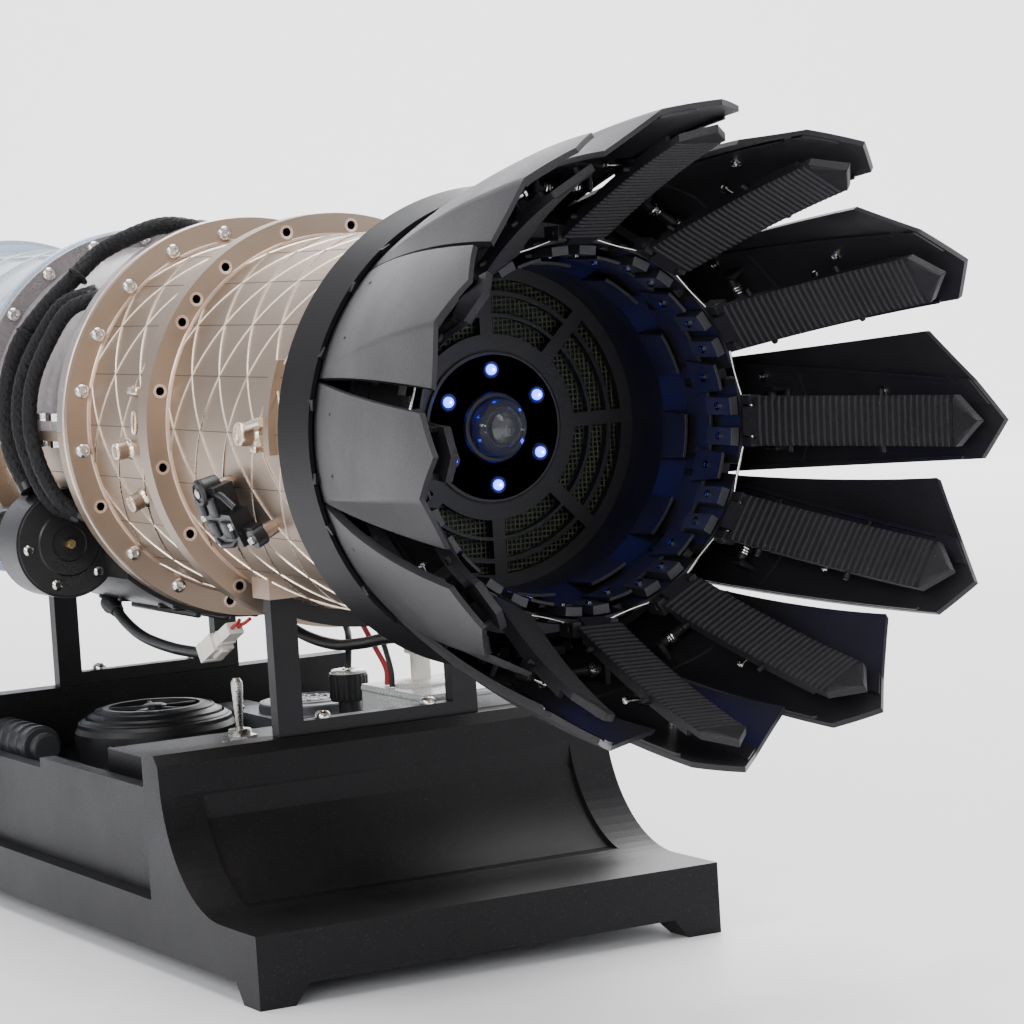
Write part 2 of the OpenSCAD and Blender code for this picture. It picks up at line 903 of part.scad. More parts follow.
module unison_ring() {
    groove_x = x_flap_hinge;
    color([0.35, 0.35, 0.37]) spun([
        [sleeve_r + 0.06, groove_x - 3.6], [46.2, groove_x - 3.6],
        [46.2, groove_x - 1.15], [43.3, groove_x - 1.15],
        [43.3, groove_x + 1.15], [46.2, groove_x + 1.15],
        [46.2, groove_x + 3.4], [sleeve_r + 0.06, groove_x + 3.4]
    ]);
}

module duct_liner() {
    color([0.10, 0.10, 0.11]) spun([
        [37, 70], [38.4, 70], [38.4, 152], [sleeve_r, 152], [sleeve_r, 167],
        [39.5, 167], [37, 160]
    ]);
}

module convergent_plates() {
    color([0.20, 0.20, 0.21]) difference() {
        union() {
            spun([[39.6, 167], [42.4, 167], [42.6, 184], [42.2, 186.2], [41.2, 186.2], [40.6, 180]]);
            for (i = [1:petals])
                station(petal_phi(i))
                    for (s = [-1, 1])
                        translate([184, s * 4.7 - 1, 41.4])
                            cube([6.2, 2, 3.4]);
        }
        for (i = [1:petals])
            station(petal_phi(i)) {
                tangent_pin(x_strip_hinge, strip_hinge_r, pin_r + fit_gap, 16);
                // notches between the plates
                station_notch(15, 181, 6);
                station_notch(12, 165, 5);
            }
    }
}

module station_notch(phi, x, l) {
    rotate([phi, 0, 0])
        translate([x, -1.2, 38])
            cube([l, 2.4, 6]);
}

// Point on a flap's outer face: u runs from root to tip, w from the wing edge at -1
// over the fold at 0 to the far edge at 1
function flap_end_x(w) = w < 0
    ? flap_tip_low_x + (flap_tip_low_x - wing_tip_x) * w
    : w < 0.5
        ? flap_tip_low_x + (x_tip - flap_tip_low_x) * w * 2
        : x_tip + (flap_tip_high_x - x_tip) * (w - 0.5) * 2;

function flap_radius(x) = let (t = (x - flap_x0) / (x_tip - flap_x0))
    flap_root_r + (flap_tip_r - flap_root_r) * t + 4 * flap_bulge * t * (1 - t);

function flap_point(u, w) = let (
    x = flap_x0 + u * (flap_end_x(w) - flap_x0),
    half = flap_root_w + (flap_tip_w - flap_root_w) * (x - flap_x0) / (flap_tip_high_x - flap_x0),
    wing = wing_root_w + (wing_tip_w - wing_root_w) * u,
    y = w < 0 ? -half + w * wing : -half + 2 * half * w,
    z = sqrt(flap_radius(x) * flap_radius(x) - y * y) + (w < 0 ? w * u * wing_fold : 0)
) [x, y, z];

flap_ws = concat(
    [for (j = [0:wing_cols - 1]) -1 + j / wing_cols],
    [for (j = [0:flap_cols]) j / flap_cols]
);

module flap_shell() {
    cols = len(flap_ws);
    rows = flap_rows + 1;
    top = [for (i = [0:flap_rows], w = flap_ws) flap_point(i / flap_rows, w)];
    low = [for (p = top) p - [0, 0, flap_t]];
    n = rows * cols;
    function at(i, j) = i * cols + j;
    outer = [for (i = [0:rows - 2], j = [0:cols - 2])
        each [[at(i, j), at(i + 1, j + 1), at(i + 1, j)], [at(i, j), at(i, j + 1), at(i + 1, j + 1)]]];
    inner = [for (t = outer) [t[0] + n, t[2] + n, t[1] + n]];
    rim = concat(
        [for (j = [0:cols - 1]) at(0, j)],
        [for (i = [1:rows - 1]) at(i, cols - 1)],
        [for (j = [cols - 2:-1:0]) at(rows - 1, j)],
        [for (i = [rows - 2:-1:1]) at(i, 0)]
    );
    m = len(rim);
    edge = [for (k = [0:m - 1]) let (a = rim[k], b = rim[(k + 1) % m])
        each [[a, b + n, b], [a, a + n, b + n]]];
    polyhedron(concat(top, low), concat(outer, inner, edge), convexity = 4);
}

module outer_flap(i) {
    color(satin_black) station(petal_phi(i)) {
        // the root is notched round the ring's lugs
        difference() {
            flap_shell();
            for (s = [-1, 1])
                translate([160, s * 8 - 1.55, 47])
                    cube([2.9, 3.1, 8]);
        }
        // hinge tongue, pin and drive horn
        translate([160.6, -6.4, flap_hinge_r - 1.4])
            cube([4.4, 12.8, 2.6]);
        tangent_pin(x_flap_hinge, flap_hinge_r, pin_r, 19);
        translate([x_flap_hinge - 0.8, -1.5, flap_hinge_r - horn_drop])
            cube([1.6, 3, horn_drop]);
        tangent_pin(x_flap_hinge, flap_hinge_r - horn_drop, 1, 3);
    }
}

strip_end = [strip_len * cos(strip_slope), strip_len * sin(strip_slope)];

// Side outline of a strip: a shallow bow from the hinge to the tip
function strip_line(drop) = [for (k = [0:10]) let (t = k / 10)
    [x_strip_hinge + strip_end[0] * t,
     strip_hinge_r - 1 + strip_end[1] * t + 4 * strip_bow * t * (1 - t) - drop]];

module inner_strip(i) {
    far = x_strip_hinge + strip_end[0];
    neck = x_strip_hinge + 3;
    color([0.05, 0.05, 0.055]) station(petal_phi(i)) {
        intersection() {
            across_y(strip_w + 2)
                polygon(concat(strip_line(0), [for (k = [10:-1:0]) strip_line(strip_t)[k]]));
            translate([0, 0, 20])
                linear_extrude(60)
                    polygon([[x_strip_hinge - 1, -3.2], [x_strip_hinge - 1, 3.2],
                             [neck, 3.2], [neck, strip_w / 2],
                             [far - strip_arrow, strip_w / 2], [far, 0],
                             [far - strip_arrow, -strip_w / 2], [neck, -strip_w / 2],
                             [neck, -3.2]]);
        }
        tangent_pin(x_strip_hinge, strip_hinge_r, 1.4, 6.6);
        tangent_pin(x_strip_hinge, strip_hinge_r, pin_r, 11);
    }
}

module flame_holder() {
    color([0.13, 0.13, 0.14]) difference() {
        union() {
            tube(143.5, 145.5, 5, 21.3);
            tube(143.5, 146.3, 6, 16.8);
            tube(143.5, 145.5, 25.2, 26);
            tube(143.5, 145.5, 30.1, 31.2);
            tube(143.5, 145.5, 33.9, 36.95);
            for (a = [0:45:359])
                station(a)
                    translate([143.5, -1.6, 20])
                        cube([2, 3.2, 15]);
        }
        on_axis(140)
            cylinder(h = 10, r = 6);
        for (a = [0:60:359])
            led_place(a)
                cylinder(h = 12, r = 1.25, $fn = 24);
    }
}

module led_place(a) {
    station(a)
        translate([138, 0, 13.2])
            rotate([0, 90, 0])
                children();
}

module led_lamps() {
    color([0.2, 0.25, 1]) for (a = [0:60:359])
        led_place(a) {
            translate([0, 0, 3])
                cylinder(h = 5.7, r = 1.2, $fn = 24);
            translate([0, 0, 8.7])
                sphere(r = 1.2, $fn = 24);
        }
}

module lens_dome() {
    color([0.85, 0.87, 0.9, 0.4]) on_axis(0)
        rotate_extrude()
            polygon([[0, 140], [5.9, 140], [5.9, 146.3], [6.6, 146.3], [6.6, 149.6], [6.1, 150.8],
                     [4.9, 151.6], [4.4, 151.2], [3.6, 152], [2, 152.6], [0, 152.8]]);
}

// ---------- what is drawn ----------

stand_base();
rear_bracket();
front_bracket();
machine_screws();
switch_body();
switch_lever();
blower_housing();
blower_impeller();
mist_canister();
speaker();
water_tank();
tank_fittings();
wiring();
lead_connectors();
intake_frame();
fan_rotor();
fan_case();
clear_case();
lower_case();
case_nuts();
core_rotor();
combustor_liner();
gearbox();
drive_motor();
motor_pinion();
oil_hoses();
turbine_case();
afterburner_case();
valve_block();
nozzle_ring();
unison_ring();
duct_liner();
convergent_plates();
flame_holder();
led_lamps();
lens_dome();
for (i = [1:petals])
    outer_flap(i);
for (i = [1:petals])
    inner_strip(i);
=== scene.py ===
"""Looks of the desk-stand turbofan model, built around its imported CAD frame."""

import math

import bmesh
import bpy
from mathutils import Matrix, Vector


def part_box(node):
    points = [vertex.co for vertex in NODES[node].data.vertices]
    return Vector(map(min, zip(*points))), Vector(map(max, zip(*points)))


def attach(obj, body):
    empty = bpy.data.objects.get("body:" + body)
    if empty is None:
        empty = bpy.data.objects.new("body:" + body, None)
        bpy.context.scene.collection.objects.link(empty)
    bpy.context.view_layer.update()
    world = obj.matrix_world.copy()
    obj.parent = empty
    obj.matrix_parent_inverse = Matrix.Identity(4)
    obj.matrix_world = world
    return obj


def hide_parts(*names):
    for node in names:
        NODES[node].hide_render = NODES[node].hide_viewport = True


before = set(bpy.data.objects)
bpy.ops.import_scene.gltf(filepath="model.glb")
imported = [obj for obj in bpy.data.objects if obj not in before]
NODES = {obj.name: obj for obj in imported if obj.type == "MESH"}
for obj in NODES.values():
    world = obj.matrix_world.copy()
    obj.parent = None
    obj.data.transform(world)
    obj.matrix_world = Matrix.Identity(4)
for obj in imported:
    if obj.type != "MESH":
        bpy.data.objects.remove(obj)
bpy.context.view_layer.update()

MM = 0.001
PETALS = 12
PETAL_OFFSET = 1.5
PETAL_STEP = 360 / PETALS
ring_low, ring_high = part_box("nozzle_ring")
AXIS_H = (ring_low.z + ring_high.z) / 2 / MM

# stations along the engine and radii round it, in millimetres
CASE_R = 46.0
FAN_FLANGE_X = -58.5
FLANGE_1_X = 12.0
TURBINE_END_X = 58.4
FLANGE_2_X = 64.0
HOLDER_X = 146.3
BOLT_R = 48.5
HOLE_R = 48.6
LOBE_PHI, LOBE_X, LOBE_R = -124, -12, 54

# angles round the engine, in degrees from the top
FLANGE_1_ANGLES = [18 * k - 5.7 for k in range(20)]
EMPTY_HOLES = (11, 14)
FLANGE_2_ANGLES = (-142, -120, -99, -77, -56, -48, -35, -13, 8, 30, 52, 73, 95, 117, 139, 160,
                   -163)


def to_scene(obj):
    bpy.context.scene.collection.objects.link(obj)


# ---------- camera ----------

CAMERA_ANGLES = (62.03, 4.61, -3.58)
CAMERA_PLACE = (0.8659, -0.3789, 0.1743)
SENSOR_WIDTH = 36
FOCAL_LENGTH = 125.4


def make_camera():
    azimuth, elevation, roll = (math.radians(a) for a in CAMERA_ANGLES)
    look = Vector((-math.sin(azimuth) * math.cos(elevation),
                   math.cos(azimuth) * math.cos(elevation), -math.sin(elevation)))
    level_right = look.cross(Vector((0, 0, 1))).normalized()
    level_up = level_right.cross(look)
    right = math.cos(roll) * level_right + math.sin(roll) * level_up
    up = -math.sin(roll) * level_right + math.cos(roll) * level_up
    data = bpy.data.cameras.new("camera")
    data.sensor_width = SENSOR_WIDTH
    data.lens = FOCAL_LENGTH
    data.clip_start = 0.01
    data.clip_end = 30
    camera = bpy.data.objects.new("camera", data)
    pose = Matrix((right, up, -look)).transposed().to_4x4()
    pose.translation = Vector(CAMERA_PLACE)
    camera.matrix_world = pose
    to_scene(camera)
    bpy.context.scene.camera = camera


make_camera()


# ---------- materials ----------

MATERIALS = {}


def link(tree, a, b):
    tree.links.new(a, b)


def noise(tree, coords, scale, detail=3.0, rough=0.55):
    n = tree.nodes.new("ShaderNodeTexNoise")
    n.inputs["Scale"].default_value = scale
    n.inputs["Detail"].default_value = detail
    n.inputs["Roughness"].default_value = rough
    link(tree, coords, n.inputs["Vector"])
    return n.outputs["Fac"]


def ranged(tree, value, low, high, from_low=0.3, from_high=0.7):
    n = tree.nodes.new("ShaderNodeMapRange")
    n.inputs["From Min"].default_value = from_low
    n.inputs["From Max"].default_value = from_high
    n.inputs["To Min"].default_value = low
    n.inputs["To Max"].default_value = high
    link(tree, value, n.inputs["Value"])
    return n.outputs["Result"]


def mixed(tree, factor, a, b):
    n = tree.nodes.new("ShaderNodeMix")
    n.data_type = "RGBA"
    link(tree, factor, n.inputs["Factor"])
    for socket, value in ((n.inputs[6], a), (n.inputs[7], b)):
        if isinstance(value, tuple):
            socket.default_value = (*value, 1)
        else:
            link(tree, value, socket)
    return n.outputs[2]


def added(tree, a, b):
    n = tree.nodes.new("ShaderNodeMath")
    n.operation = "ADD"
    link(tree, a, n.inputs[0])
    link(tree, b, n.inputs[1])
    return n.outputs[0]


def wave(tree, coords, scale, direction, depth):
    n = tree.nodes.new("ShaderNodeTexWave")
    n.bands_direction = direction
    n.inputs["Scale"].default_value = scale
    n.inputs["Distortion"].default_value = 0.4
    link(tree, coords, n.inputs["Vector"])
    return ranged(tree, n.outputs["Fac"], 0, depth, 0, 1)


def material(name, colour, rough, metal=0.0, vary=0.25, patch=40, grain=2200, relief=0.25,
             depth=0.00012, specks=0.0, speck_colour=(0.3, 0.3, 0.3), weave=None, coat=0.0,
             specular=0.5, alpha=1.0, transmission=0.0, glow=None, glow_strength=0.0, smear=0.12):
    """A surface with patchy colour, uneven gloss and fine relief, in the piece's own space."""
    m = bpy.data.materials.new(name)
    m.use_nodes = True
    tree = m.node_tree
    shader = tree.nodes["Principled BSDF"]
    coords = tree.nodes.new("ShaderNodeTexCoord").outputs["Object"]
    patches = noise(tree, coords, patch, 4)
    fine = noise(tree, coords, grain, 2)
    dark = tuple(c * (1 - vary) for c in colour)
    light = tuple(min(1, c * (1 + vary)) for c in colour)
    base = mixed(tree, ranged(tree, patches, 0, 1), dark, light)
    if specks:
        dots = noise(tree, coords, grain * 0.9, 1)
        base = mixed(tree, ranged(tree, dots, 0, 1, specks, specks + 0.06), base, speck_colour)
    link(tree, base, shader.inputs["Base Color"])
    gloss = added(tree, ranged(tree, patches, rough - smear / 2, rough + smear / 2),
                  ranged(tree, fine, -0.04, 0.04))
    link(tree, gloss, shader.inputs["Roughness"])
    height = ranged(tree, fine, 0, 1)
    if weave:
        for direction, scale, share in weave:
            height = added(tree, height, wave(tree, coords, scale, direction, share))
    bump = tree.nodes.new("ShaderNodeBump")
    bump.inputs["Strength"].default_value = relief
    bump.inputs["Distance"].default_value = depth
    link(tree, height, bump.inputs["Height"])
    link(tree, bump.outputs["Normal"], shader.inputs["Normal"])
    shader.inputs["Metallic"].default_value = metal
    shader.inputs["Specular IOR Level"].default_value = specular
    shader.inputs["Coat Weight"].default_value = coat
    shader.inputs["Coat Roughness"].default_value = 0.25
    shader.inputs["Alpha"].default_value = alpha
    shader.inputs["Transmission Weight"].default_value = transmission
    if glow:
        shader.inputs["Emission Color"].default_value = (*glow, 1)
        shader.inputs["Emission Strength"].default_value = glow_strength
    MATERIALS[name] = m
    return m


material("stand_black", (0.0062, 0.0062, 0.0070), 0.40, grain=3200, relief=0.3, depth=0.0001,
         specks=0.68, speck_colour=(0.035, 0.035, 0.036), smear=0.08, specular=0.20)
material("bracket_black", (0.0065, 0.0065, 0.0075), 0.42, relief=0.2, specular=0.28)
material("bright_steel", (0.66, 0.65, 0.62), 0.20, metal=1, vary=0.10, patch=220, relief=0.12)
material("brushed_steel", (0.55, 0.54, 0.51), 0.28, metal=1, vary=0.15, patch=160,
         weave=[("X", 900, 0.5)])
material("tray_black", (0.006, 0.006, 0.007), 0.38, relief=0.2, specular=0.4)
material("canister_grey", (0.022, 0.023, 0.026), 0.35, relief=0.2)
material("speaker_grey", (0.060, 0.063, 0.070), 0.3, vary=0.12, relief=0.2)
material("speaker_face", (0.16, 0.16, 0.17), 0.4, metal=0.6, relief=0.15)
material("tank_milky", (0.80, 0.82, 0.82), 0.24, vary=0.03, relief=0.1, transmission=0.35)
material("white_nylon", (0.78, 0.76, 0.70), 0.38, vary=0.06, relief=0.15)
material("lead_black", (0.008, 0.008, 0.008), 0.42, relief=0.2)
material("lead_red", (0.42, 0.02, 0.02), 0.4, relief=0.2)
material("fan_metal", (0.60, 0.65, 0.70), 0.3, metal=0.55, vary=0.10, patch=70, relief=0.12)
material("fan_rim_blue", (0.42, 0.55, 0.70), 0.3, metal=0.4, vary=0.1, relief=0.12)
material("rotor_metal", (0.42, 0.41, 0.42), 0.3, metal=1, vary=0.2, patch=120, relief=0.12)
material("clear_plastic", (0.82, 0.74, 0.75), 0.14, vary=0.03, relief=0.08, transmission=0.78)
material("champagne", (0.395, 0.312, 0.245), 0.42, metal=1, vary=0.05, patch=45, grain=3600,
         relief=0.08, depth=0.00005, smear=0.05)
material("champagne_flange", (0.84, 0.665, 0.56), 0.38, metal=1, vary=0.04, patch=40, grain=3600,
         relief=0.06, depth=0.00005, smear=0.05)
# lighter copy of the champagne for raised ribs and trim: painted highlight
material("champagne_painted_highlight", (0.82, 0.69, 0.57), 0.28, metal=1, vary=0.05, patch=90, relief=0.08)
# dark copy of the champagne for the casing's axial lines: painted shade of grooves
material("champagne_painted_groove_shade", (0.10, 0.072, 0.048), 0.5, metal=0.6, vary=0.2, patch=90)
material("liner_red", (0.20, 0.035, 0.045), 0.3, metal=0.3, vary=0.35, patch=90)
material("gearbox_black", (0.008, 0.008, 0.009), 0.33, relief=0.2, specular=0.42)
material("motor_steel", (0.42, 0.47, 0.50), 0.26, metal=1, vary=0.15, patch=120, relief=0.12)
material("brass", (0.66, 0.50, 0.22), 0.28, metal=1, vary=0.12, patch=200, relief=0.12)
material("hose_sleeve", (0.005, 0.005, 0.006), 0.6, grain=1800, relief=0.8, depth=0.0004,
         weave=[("X", 260, 0.7), ("DIAGONAL", 240, 0.7)], specular=0.3)
material("nozzle_black", (0.0085, 0.0078, 0.0086), 0.36, grain=3200, relief=0.2, vary=0.15,
         specks=0.75, speck_colour=(0.04, 0.04, 0.04), specular=0.20)
material("petal_black", (0.0175, 0.0160, 0.0185), 0.36, grain=2600, relief=0.22, vary=0.22,
         patch=28, specks=0.72, speck_colour=(0.055, 0.055, 0.058), smear=0.14, specular=0.24,
         weave=[("X", 420, 0.15)])
material("strip_black", (0.0150, 0.0138, 0.0160), 0.50, grain=2000, relief=0.4, depth=0.00015,
         vary=0.25, specks=0.71, speck_colour=(0.06, 0.058, 0.062), specular=0.26)
material("ring_steel", (0.10, 0.10, 0.11), 0.3, metal=1, relief=0.12)
material("duct_black", (0.008, 0.008, 0.009), 0.42, relief=0.3)
material("throat_grey", (0.014, 0.014, 0.016), 0.46, vary=0.35, patch=80, relief=0.3)
material("throat_facet", (0.045, 0.045, 0.050), 0.36, metal=0.3, vary=0.25, patch=90, relief=0.2)
material("holder_black", (0.0085, 0.0080, 0.0090), 0.40, relief=0.2, grain=2600,
         specks=0.74, speck_colour=(0.07, 0.07, 0.075))
material("screen_olive", (0.050, 0.060, 0.034), 0.5, vary=0.4, patch=60)
material("led_blue", (0.05, 0.07, 0.9), 0.2, vary=0.1, glow=(0.01, 0.015, 1.0), glow_strength=14)
material("led_core", (0.6, 0.65, 1.0), 0.2, vary=0.05, glow=(0.16, 0.20, 1.0), glow_strength=26)
material("lens_glass", (0.86, 0.89, 0.93), 0.05, vary=0.02, relief=0.05, transmission=0.95,
         coat=0.4)
material("dark_chrome", (0.24, 0.25, 0.27), 0.16, metal=1, vary=0.2, patch=300, relief=0.1)


# ---------- mesh helpers, in millimetres ----------

def moved(point):
    return Matrix.Translation(point)


def rotated(angle, axis):
    return Matrix.Rotation(angle, 4, axis)


def at_station(phi, x=0.0, r=0.0):
    """At an angle from the top: x along the engine, y along the tangent, z outward."""
    return (moved((0, 0, AXIS_H)) @ rotated(math.radians(-phi), "X")
            @ moved((x, 0, r)))


def along_x(place):
    """Turns a placement so that its local z runs along the engine."""
    return place @ rotated(math.pi / 2, "Y")


def aft(phi=0, x=0, r=0):
    """A station's placement with its local z along the engine, facing aft."""
    return along_x(at_station(phi, x, r))


class Shell:
    """Vertices and faces of one piece."""

    def __init__(self):
        self.verts = []
        self.faces = []

    def add(self, verts, faces, place=None):
        first = len(self.verts)
        for v in verts:
            self.verts.append(place @ Vector(v) if place else Vector(v))
        self.faces.extend(tuple(first + i for i in f) for f in faces)

    def grid(self, rows, place=None, wrap=False):
        """A sheet through rows of points of equal length."""
        n = len(rows[0])
        cols = n if wrap else n - 1
        faces = [(i * n + j, i * n + (j + 1) % n, (i + 1) * n + (j + 1) % n, (i + 1) * n + j)
                 for i in range(len(rows) - 1) for j in range(cols)]
        self.add([p for row in rows for p in row], faces, place)

    def slab(self, top, low, place=None):
        """A closed plate between two matching grids of points."""
        rows, n = len(top), len(top[0])
        count = rows * n
        faces = []
        for i in range(rows - 1):
            for j in range(n - 1):
                a = i * n + j
                quad = (a, a + 1, a + n + 1, a + n)
                faces.append(quad)
                faces.append(tuple(q + count for q in reversed(quad)))
        rim = ([j for j in range(n)] + [i * n + n - 1 for i in range(1, rows)]
               + [(rows - 1) * n + j for j in range(n - 2, -1, -1)]
               + [i * n for i in range(rows - 2, 0, -1)])
        for k, a in enumerate(rim):
            b = rim[(k + 1) % len(rim)]
            faces.append((b, a, a + count, b + count))
        self.add([p for row in top for p in row] + [p for row in low for p in row], faces, place)

    def lathe(self, profile, place, sides=24, flat=0, turn=0.0):
        """A form turned round local z from (radius, z) points; flat sides make a nut."""
        rings = []
        for r, z in profile:
            ring = []
            for k in range(sides):
                a = 2 * math.pi * (k + turn) / sides
                size = r
                if flat:
                    sector = 2 * math.pi / flat
                    size = r * math.cos(sector / 2) / math.cos((a % sector) - sector / 2)
                ring.append((size * math.cos(a), size * math.sin(a), z))
            rings.append(ring)
        self.grid(rings, place, wrap=True)
        n = len(self.verts)
        if profile[0][0] > 1e-6:
            first = n - len(profile) * sides
            self.faces.append(tuple(first + k for k in reversed(range(sides))))
        if profile[-1][0] > 1e-6:
            self.faces.append(tuple(n - sides + k for k in range(sides)))

    def box(self, place, size, centre=(0, 0, 0), chamfer=0.25):
        """A block with chamfered edges."""
        hx, hy, hz = (s / 2 for s in size)
        c = min(chamfer, hx * 0.6, hy * 0.6, hz * 0.6)
        loops = []
        for z, inset in ((-hz, c), (-hz + c, 0), (hz - c, 0), (hz, c)):
            x, y = hx - inset, hy - inset
            loops.append([(-x + c, -y, z), (x - c, -y, z), (x, -y + c, z), (x, y - c, z),
                          (x - c, y, z), (-x + c, y, z), (-x, y - c, z), (-x, -y + c, z)])
        move = moved(centre)
        self.grid(loops, place @ move, wrap=True)
        n = len(self.verts)
        self.faces.append(tuple(n - 32 + k for k in reversed(range(8))))
        self.faces.append(tuple(n - 8 + k for k in range(8)))

    def tube(self, path, radius, sides=12, place=None):
        """A round bar along a path; radius is a number or a function of the share of the path."""
        path = [place @ Vector(p) if place else Vector(p) for p in path]
        rings = []
        normal = None
        last = len(path) - 1
        for i, p in enumerate(path):
            t = (path[min(i + 1, last)] - path[max(i - 1, 0)]).normalized()
            if normal is None:
                normal = t.orthogonal().normalized()
            normal = (normal - t * normal.dot(t)).normalized()
            other = t.cross(normal)
            r = radius(i / last) if callable(radius) else radius
            rings.append([p + r * (math.cos(2 * math.pi * k / sides) * normal
                                   + math.sin(2 * math.pi * k / sides) * other)
                          for k in range(sides)])
        self.grid(rings, wrap=True)
        n = len(self.verts)
        first = n - len(rings) * sides
        self.faces.append(tuple(first + k for k in reversed(range(sides))))
        self.faces.append(tuple(n - sides + k for k in range(sides)))

    def piece(self, name, finish, slot, body="root", sharp=38, bevel=0.0, weld=True):
        """Makes the Blender object, in metres, and hangs it on its CAD body."""
        mesh = bpy.data.meshes.new(name)
        mesh.from_pydata([v * MM for v in self.verts], [], self.faces)
        work = bmesh.new()
        work.from_mesh(mesh)
        if weld:
            bmesh.ops.remove_doubles(work, verts=work.verts, dist=0.000002)
        bmesh.ops.recalc_face_normals(work, faces=work.faces)
        work.to_mesh(mesh)
        work.free()
        mesh.materials.append(MATERIALS[finish])
        mesh.shade_smooth()
        mesh.set_sharp_from_angle(angle=math.radians(sharp))
        obj = bpy.data.objects.new(name, mesh)
        to_scene(obj)
        if bevel:
            soften(obj, bevel)
        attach(obj, body)
        return obj


def soften(obj, width_mm, angle=38, segments=2):
    """Rounds an object's sharp edges a little, so that they catch the light."""
    mod = obj.modifiers.new("soft_edges", "BEVEL")
    mod.width = width_mm * MM
    mod.segments = segments
    mod.limit_method = "ANGLE"
    mod.angle_limit = math.radians(angle)
    mod.harden_normals = True
    mod.use_clamp_overlap = True


def smooth_route(points, steps):
    """The same smooth route through listed points as the CAD's."""
    pts = [Vector(p) for p in points]
    out = []
    for i in range(len(pts) - 1):
        a, b, c, d = pts[max(i - 1, 0)], pts[i], pts[i + 1], pts[min(i + 2, len(pts) - 1)]
        for k in range(steps):
            t = k / steps
            out.append(0.5 * (2 * b + (c - a) * t + (2 * a - 5 * b + 4 * c - d) * t * t
                              + (3 * b - a - 3 * c + d) * t ** 3))
    return out + [pts[-1]]


def polar(x, r, phi):
    a = math.radians(phi)
    return Vector((x, r * math.sin(a), AXIS_H + r * math.cos(a)))


def repaint(node, finish, sharp=30, bevel=0.0):
    """Gives a carried-over CAD node its material, clean shading and softened edges."""
    obj = NODES[node]
    obj.data.materials.clear()
    obj.data.materials.append(MATERIALS[finish])
    obj.data.shade_smooth()
    obj.data.set_sharp_from_angle(angle=math.radians(sharp))
    if bevel:
        soften(obj, bevel)


# finish of each carried-over node, and how far its edges are rounded, in millimetres
FINISHES = {
    "nozzle_ring": ("nozzle_black", 0.3),
    "unison_ring": ("ring_steel", 0.15),
    "duct_liner": ("duct_black", 0),
    "convergent_plates": ("throat_grey", 0.2),
    "flame_holder": ("holder_black", 0.18),
    "led_lamps": ("led_blue", 0),
    "lens_dome": ("lens_glass", 0),
    "lower_case": ("champagne", 0.2),
    "case_nuts": ("bright_steel", 0.15),
    "stand_base": ("stand_black", 0.7),
    "switch_body": ("bright_steel", 0.2),
    "switch_lever": ("brushed_steel", 0),
    "blower_housing": ("tray_black", 0.5),
    "blower_impeller": ("tray_black", 0),
    "mist_canister": ("canister_grey", 0.4),
    "speaker": ("speaker_grey", 0.5),
    "water_tank": ("tank_milky", 0.7),
    "tank_fittings": ("white_nylon", 0.3),
    "lead_connectors": ("white_nylon", 0.4),
    "intake_frame": ("fan_metal", 0.3),
    "fan_rotor": ("rotor_metal", 0),
    "fan_case": ("fan_metal", 0.3),
    "clear_case": ("clear_plastic", 0.3),
    "core_rotor": ("rotor_metal", 0),
    "combustor_liner": ("liner_red", 0),
    "gearbox": ("gearbox_black", 0.6),
    "drive_motor": ("motor_steel", 0.3),
    "motor_pinion": ("brass", 0),
    "valve_block": ("gearbox_black", 0.35),
    "turbine_case": ("champagne", 0.25),
    "afterburner_case": ("champagne", 0.25),
    "rear_bracket": ("bracket_black", 0.45),
    "front_bracket": ("bracket_black", 0.45),
}

for node_name, (node_finish, edge) in FINISHES.items():
    repaint(node_name, node_finish, bevel=edge)


# ---------- nozzle petals ----------

FLAP_X0, FLAP_TIP = 160.5, 250.1
FLAP_LOW_X, FLAP_HIGH_X, WING_X = 240.7, 242.9, 235.4
BARREL_X = 181.0
FLAP_HINGE_X, FLAP_HINGE_R = 161.2, 50.2
HORN_R = 44.5
PIN_R = 0.8
STRIP_HINGE_X, STRIP_HINGE_R = 188.5, 43


def petal_angle(k):
    """Angle of a petal from the top, counted from 0."""
    return PETAL_OFFSET + PETAL_STEP * k


def flap_end_x(w):
    if w < 0:
        return FLAP_LOW_X + (FLAP_LOW_X - WING_X) * w
    if w < 0.5:
        return FLAP_LOW_X + (FLAP_TIP - FLAP_LOW_X) * w * 2
    return FLAP_TIP + (FLAP_HIGH_X - FLAP_TIP) * (w - 0.5) * 2


def flap_radius(x):
    t = (x - FLAP_X0) / (FLAP_TIP - FLAP_X0)
    return 52 + 16.4 * t + 10 * t * (1 - t)


def flap_point(u, w, drop=0.0):
    """Point on a flap: u from root to tip, w from the wing's edge at -1 to the far edge at 1."""
    x = FLAP_X0 + u * (flap_end_x(w) - FLAP_X0)
    half = 12.9 - 4.5 * (x - FLAP_X0) / (FLAP_HIGH_X - FLAP_X0)
    wing = 0.3 + 10.1 * u
    y = -half + w * wing if w < 0 else -half + 2 * half * w
    fold = -w * u * 5.2 * (1 + 0.25 * (1 + w)) if w < 0 else 0
    r = flap_radius(x)
    return (x, y, math.sqrt(r * r - y * y) - fold - drop)


def flap_patch(shell, place, u0, u1, w0, w1, top, low, rows=4, cols=4):
    """A thin plate that follows the flap between two depths under its outer face."""
    us = [u0 + (u1 - u0) * i / rows for i in range(rows + 1)]
    ws = [w0 + (w1 - w0) * j / cols for j in range(cols + 1)]
    shell.slab([[flap_point(u, w, top) for w in ws] for u in us],
               [[flap_point(u, w, low) for w in ws] for u in us], place)


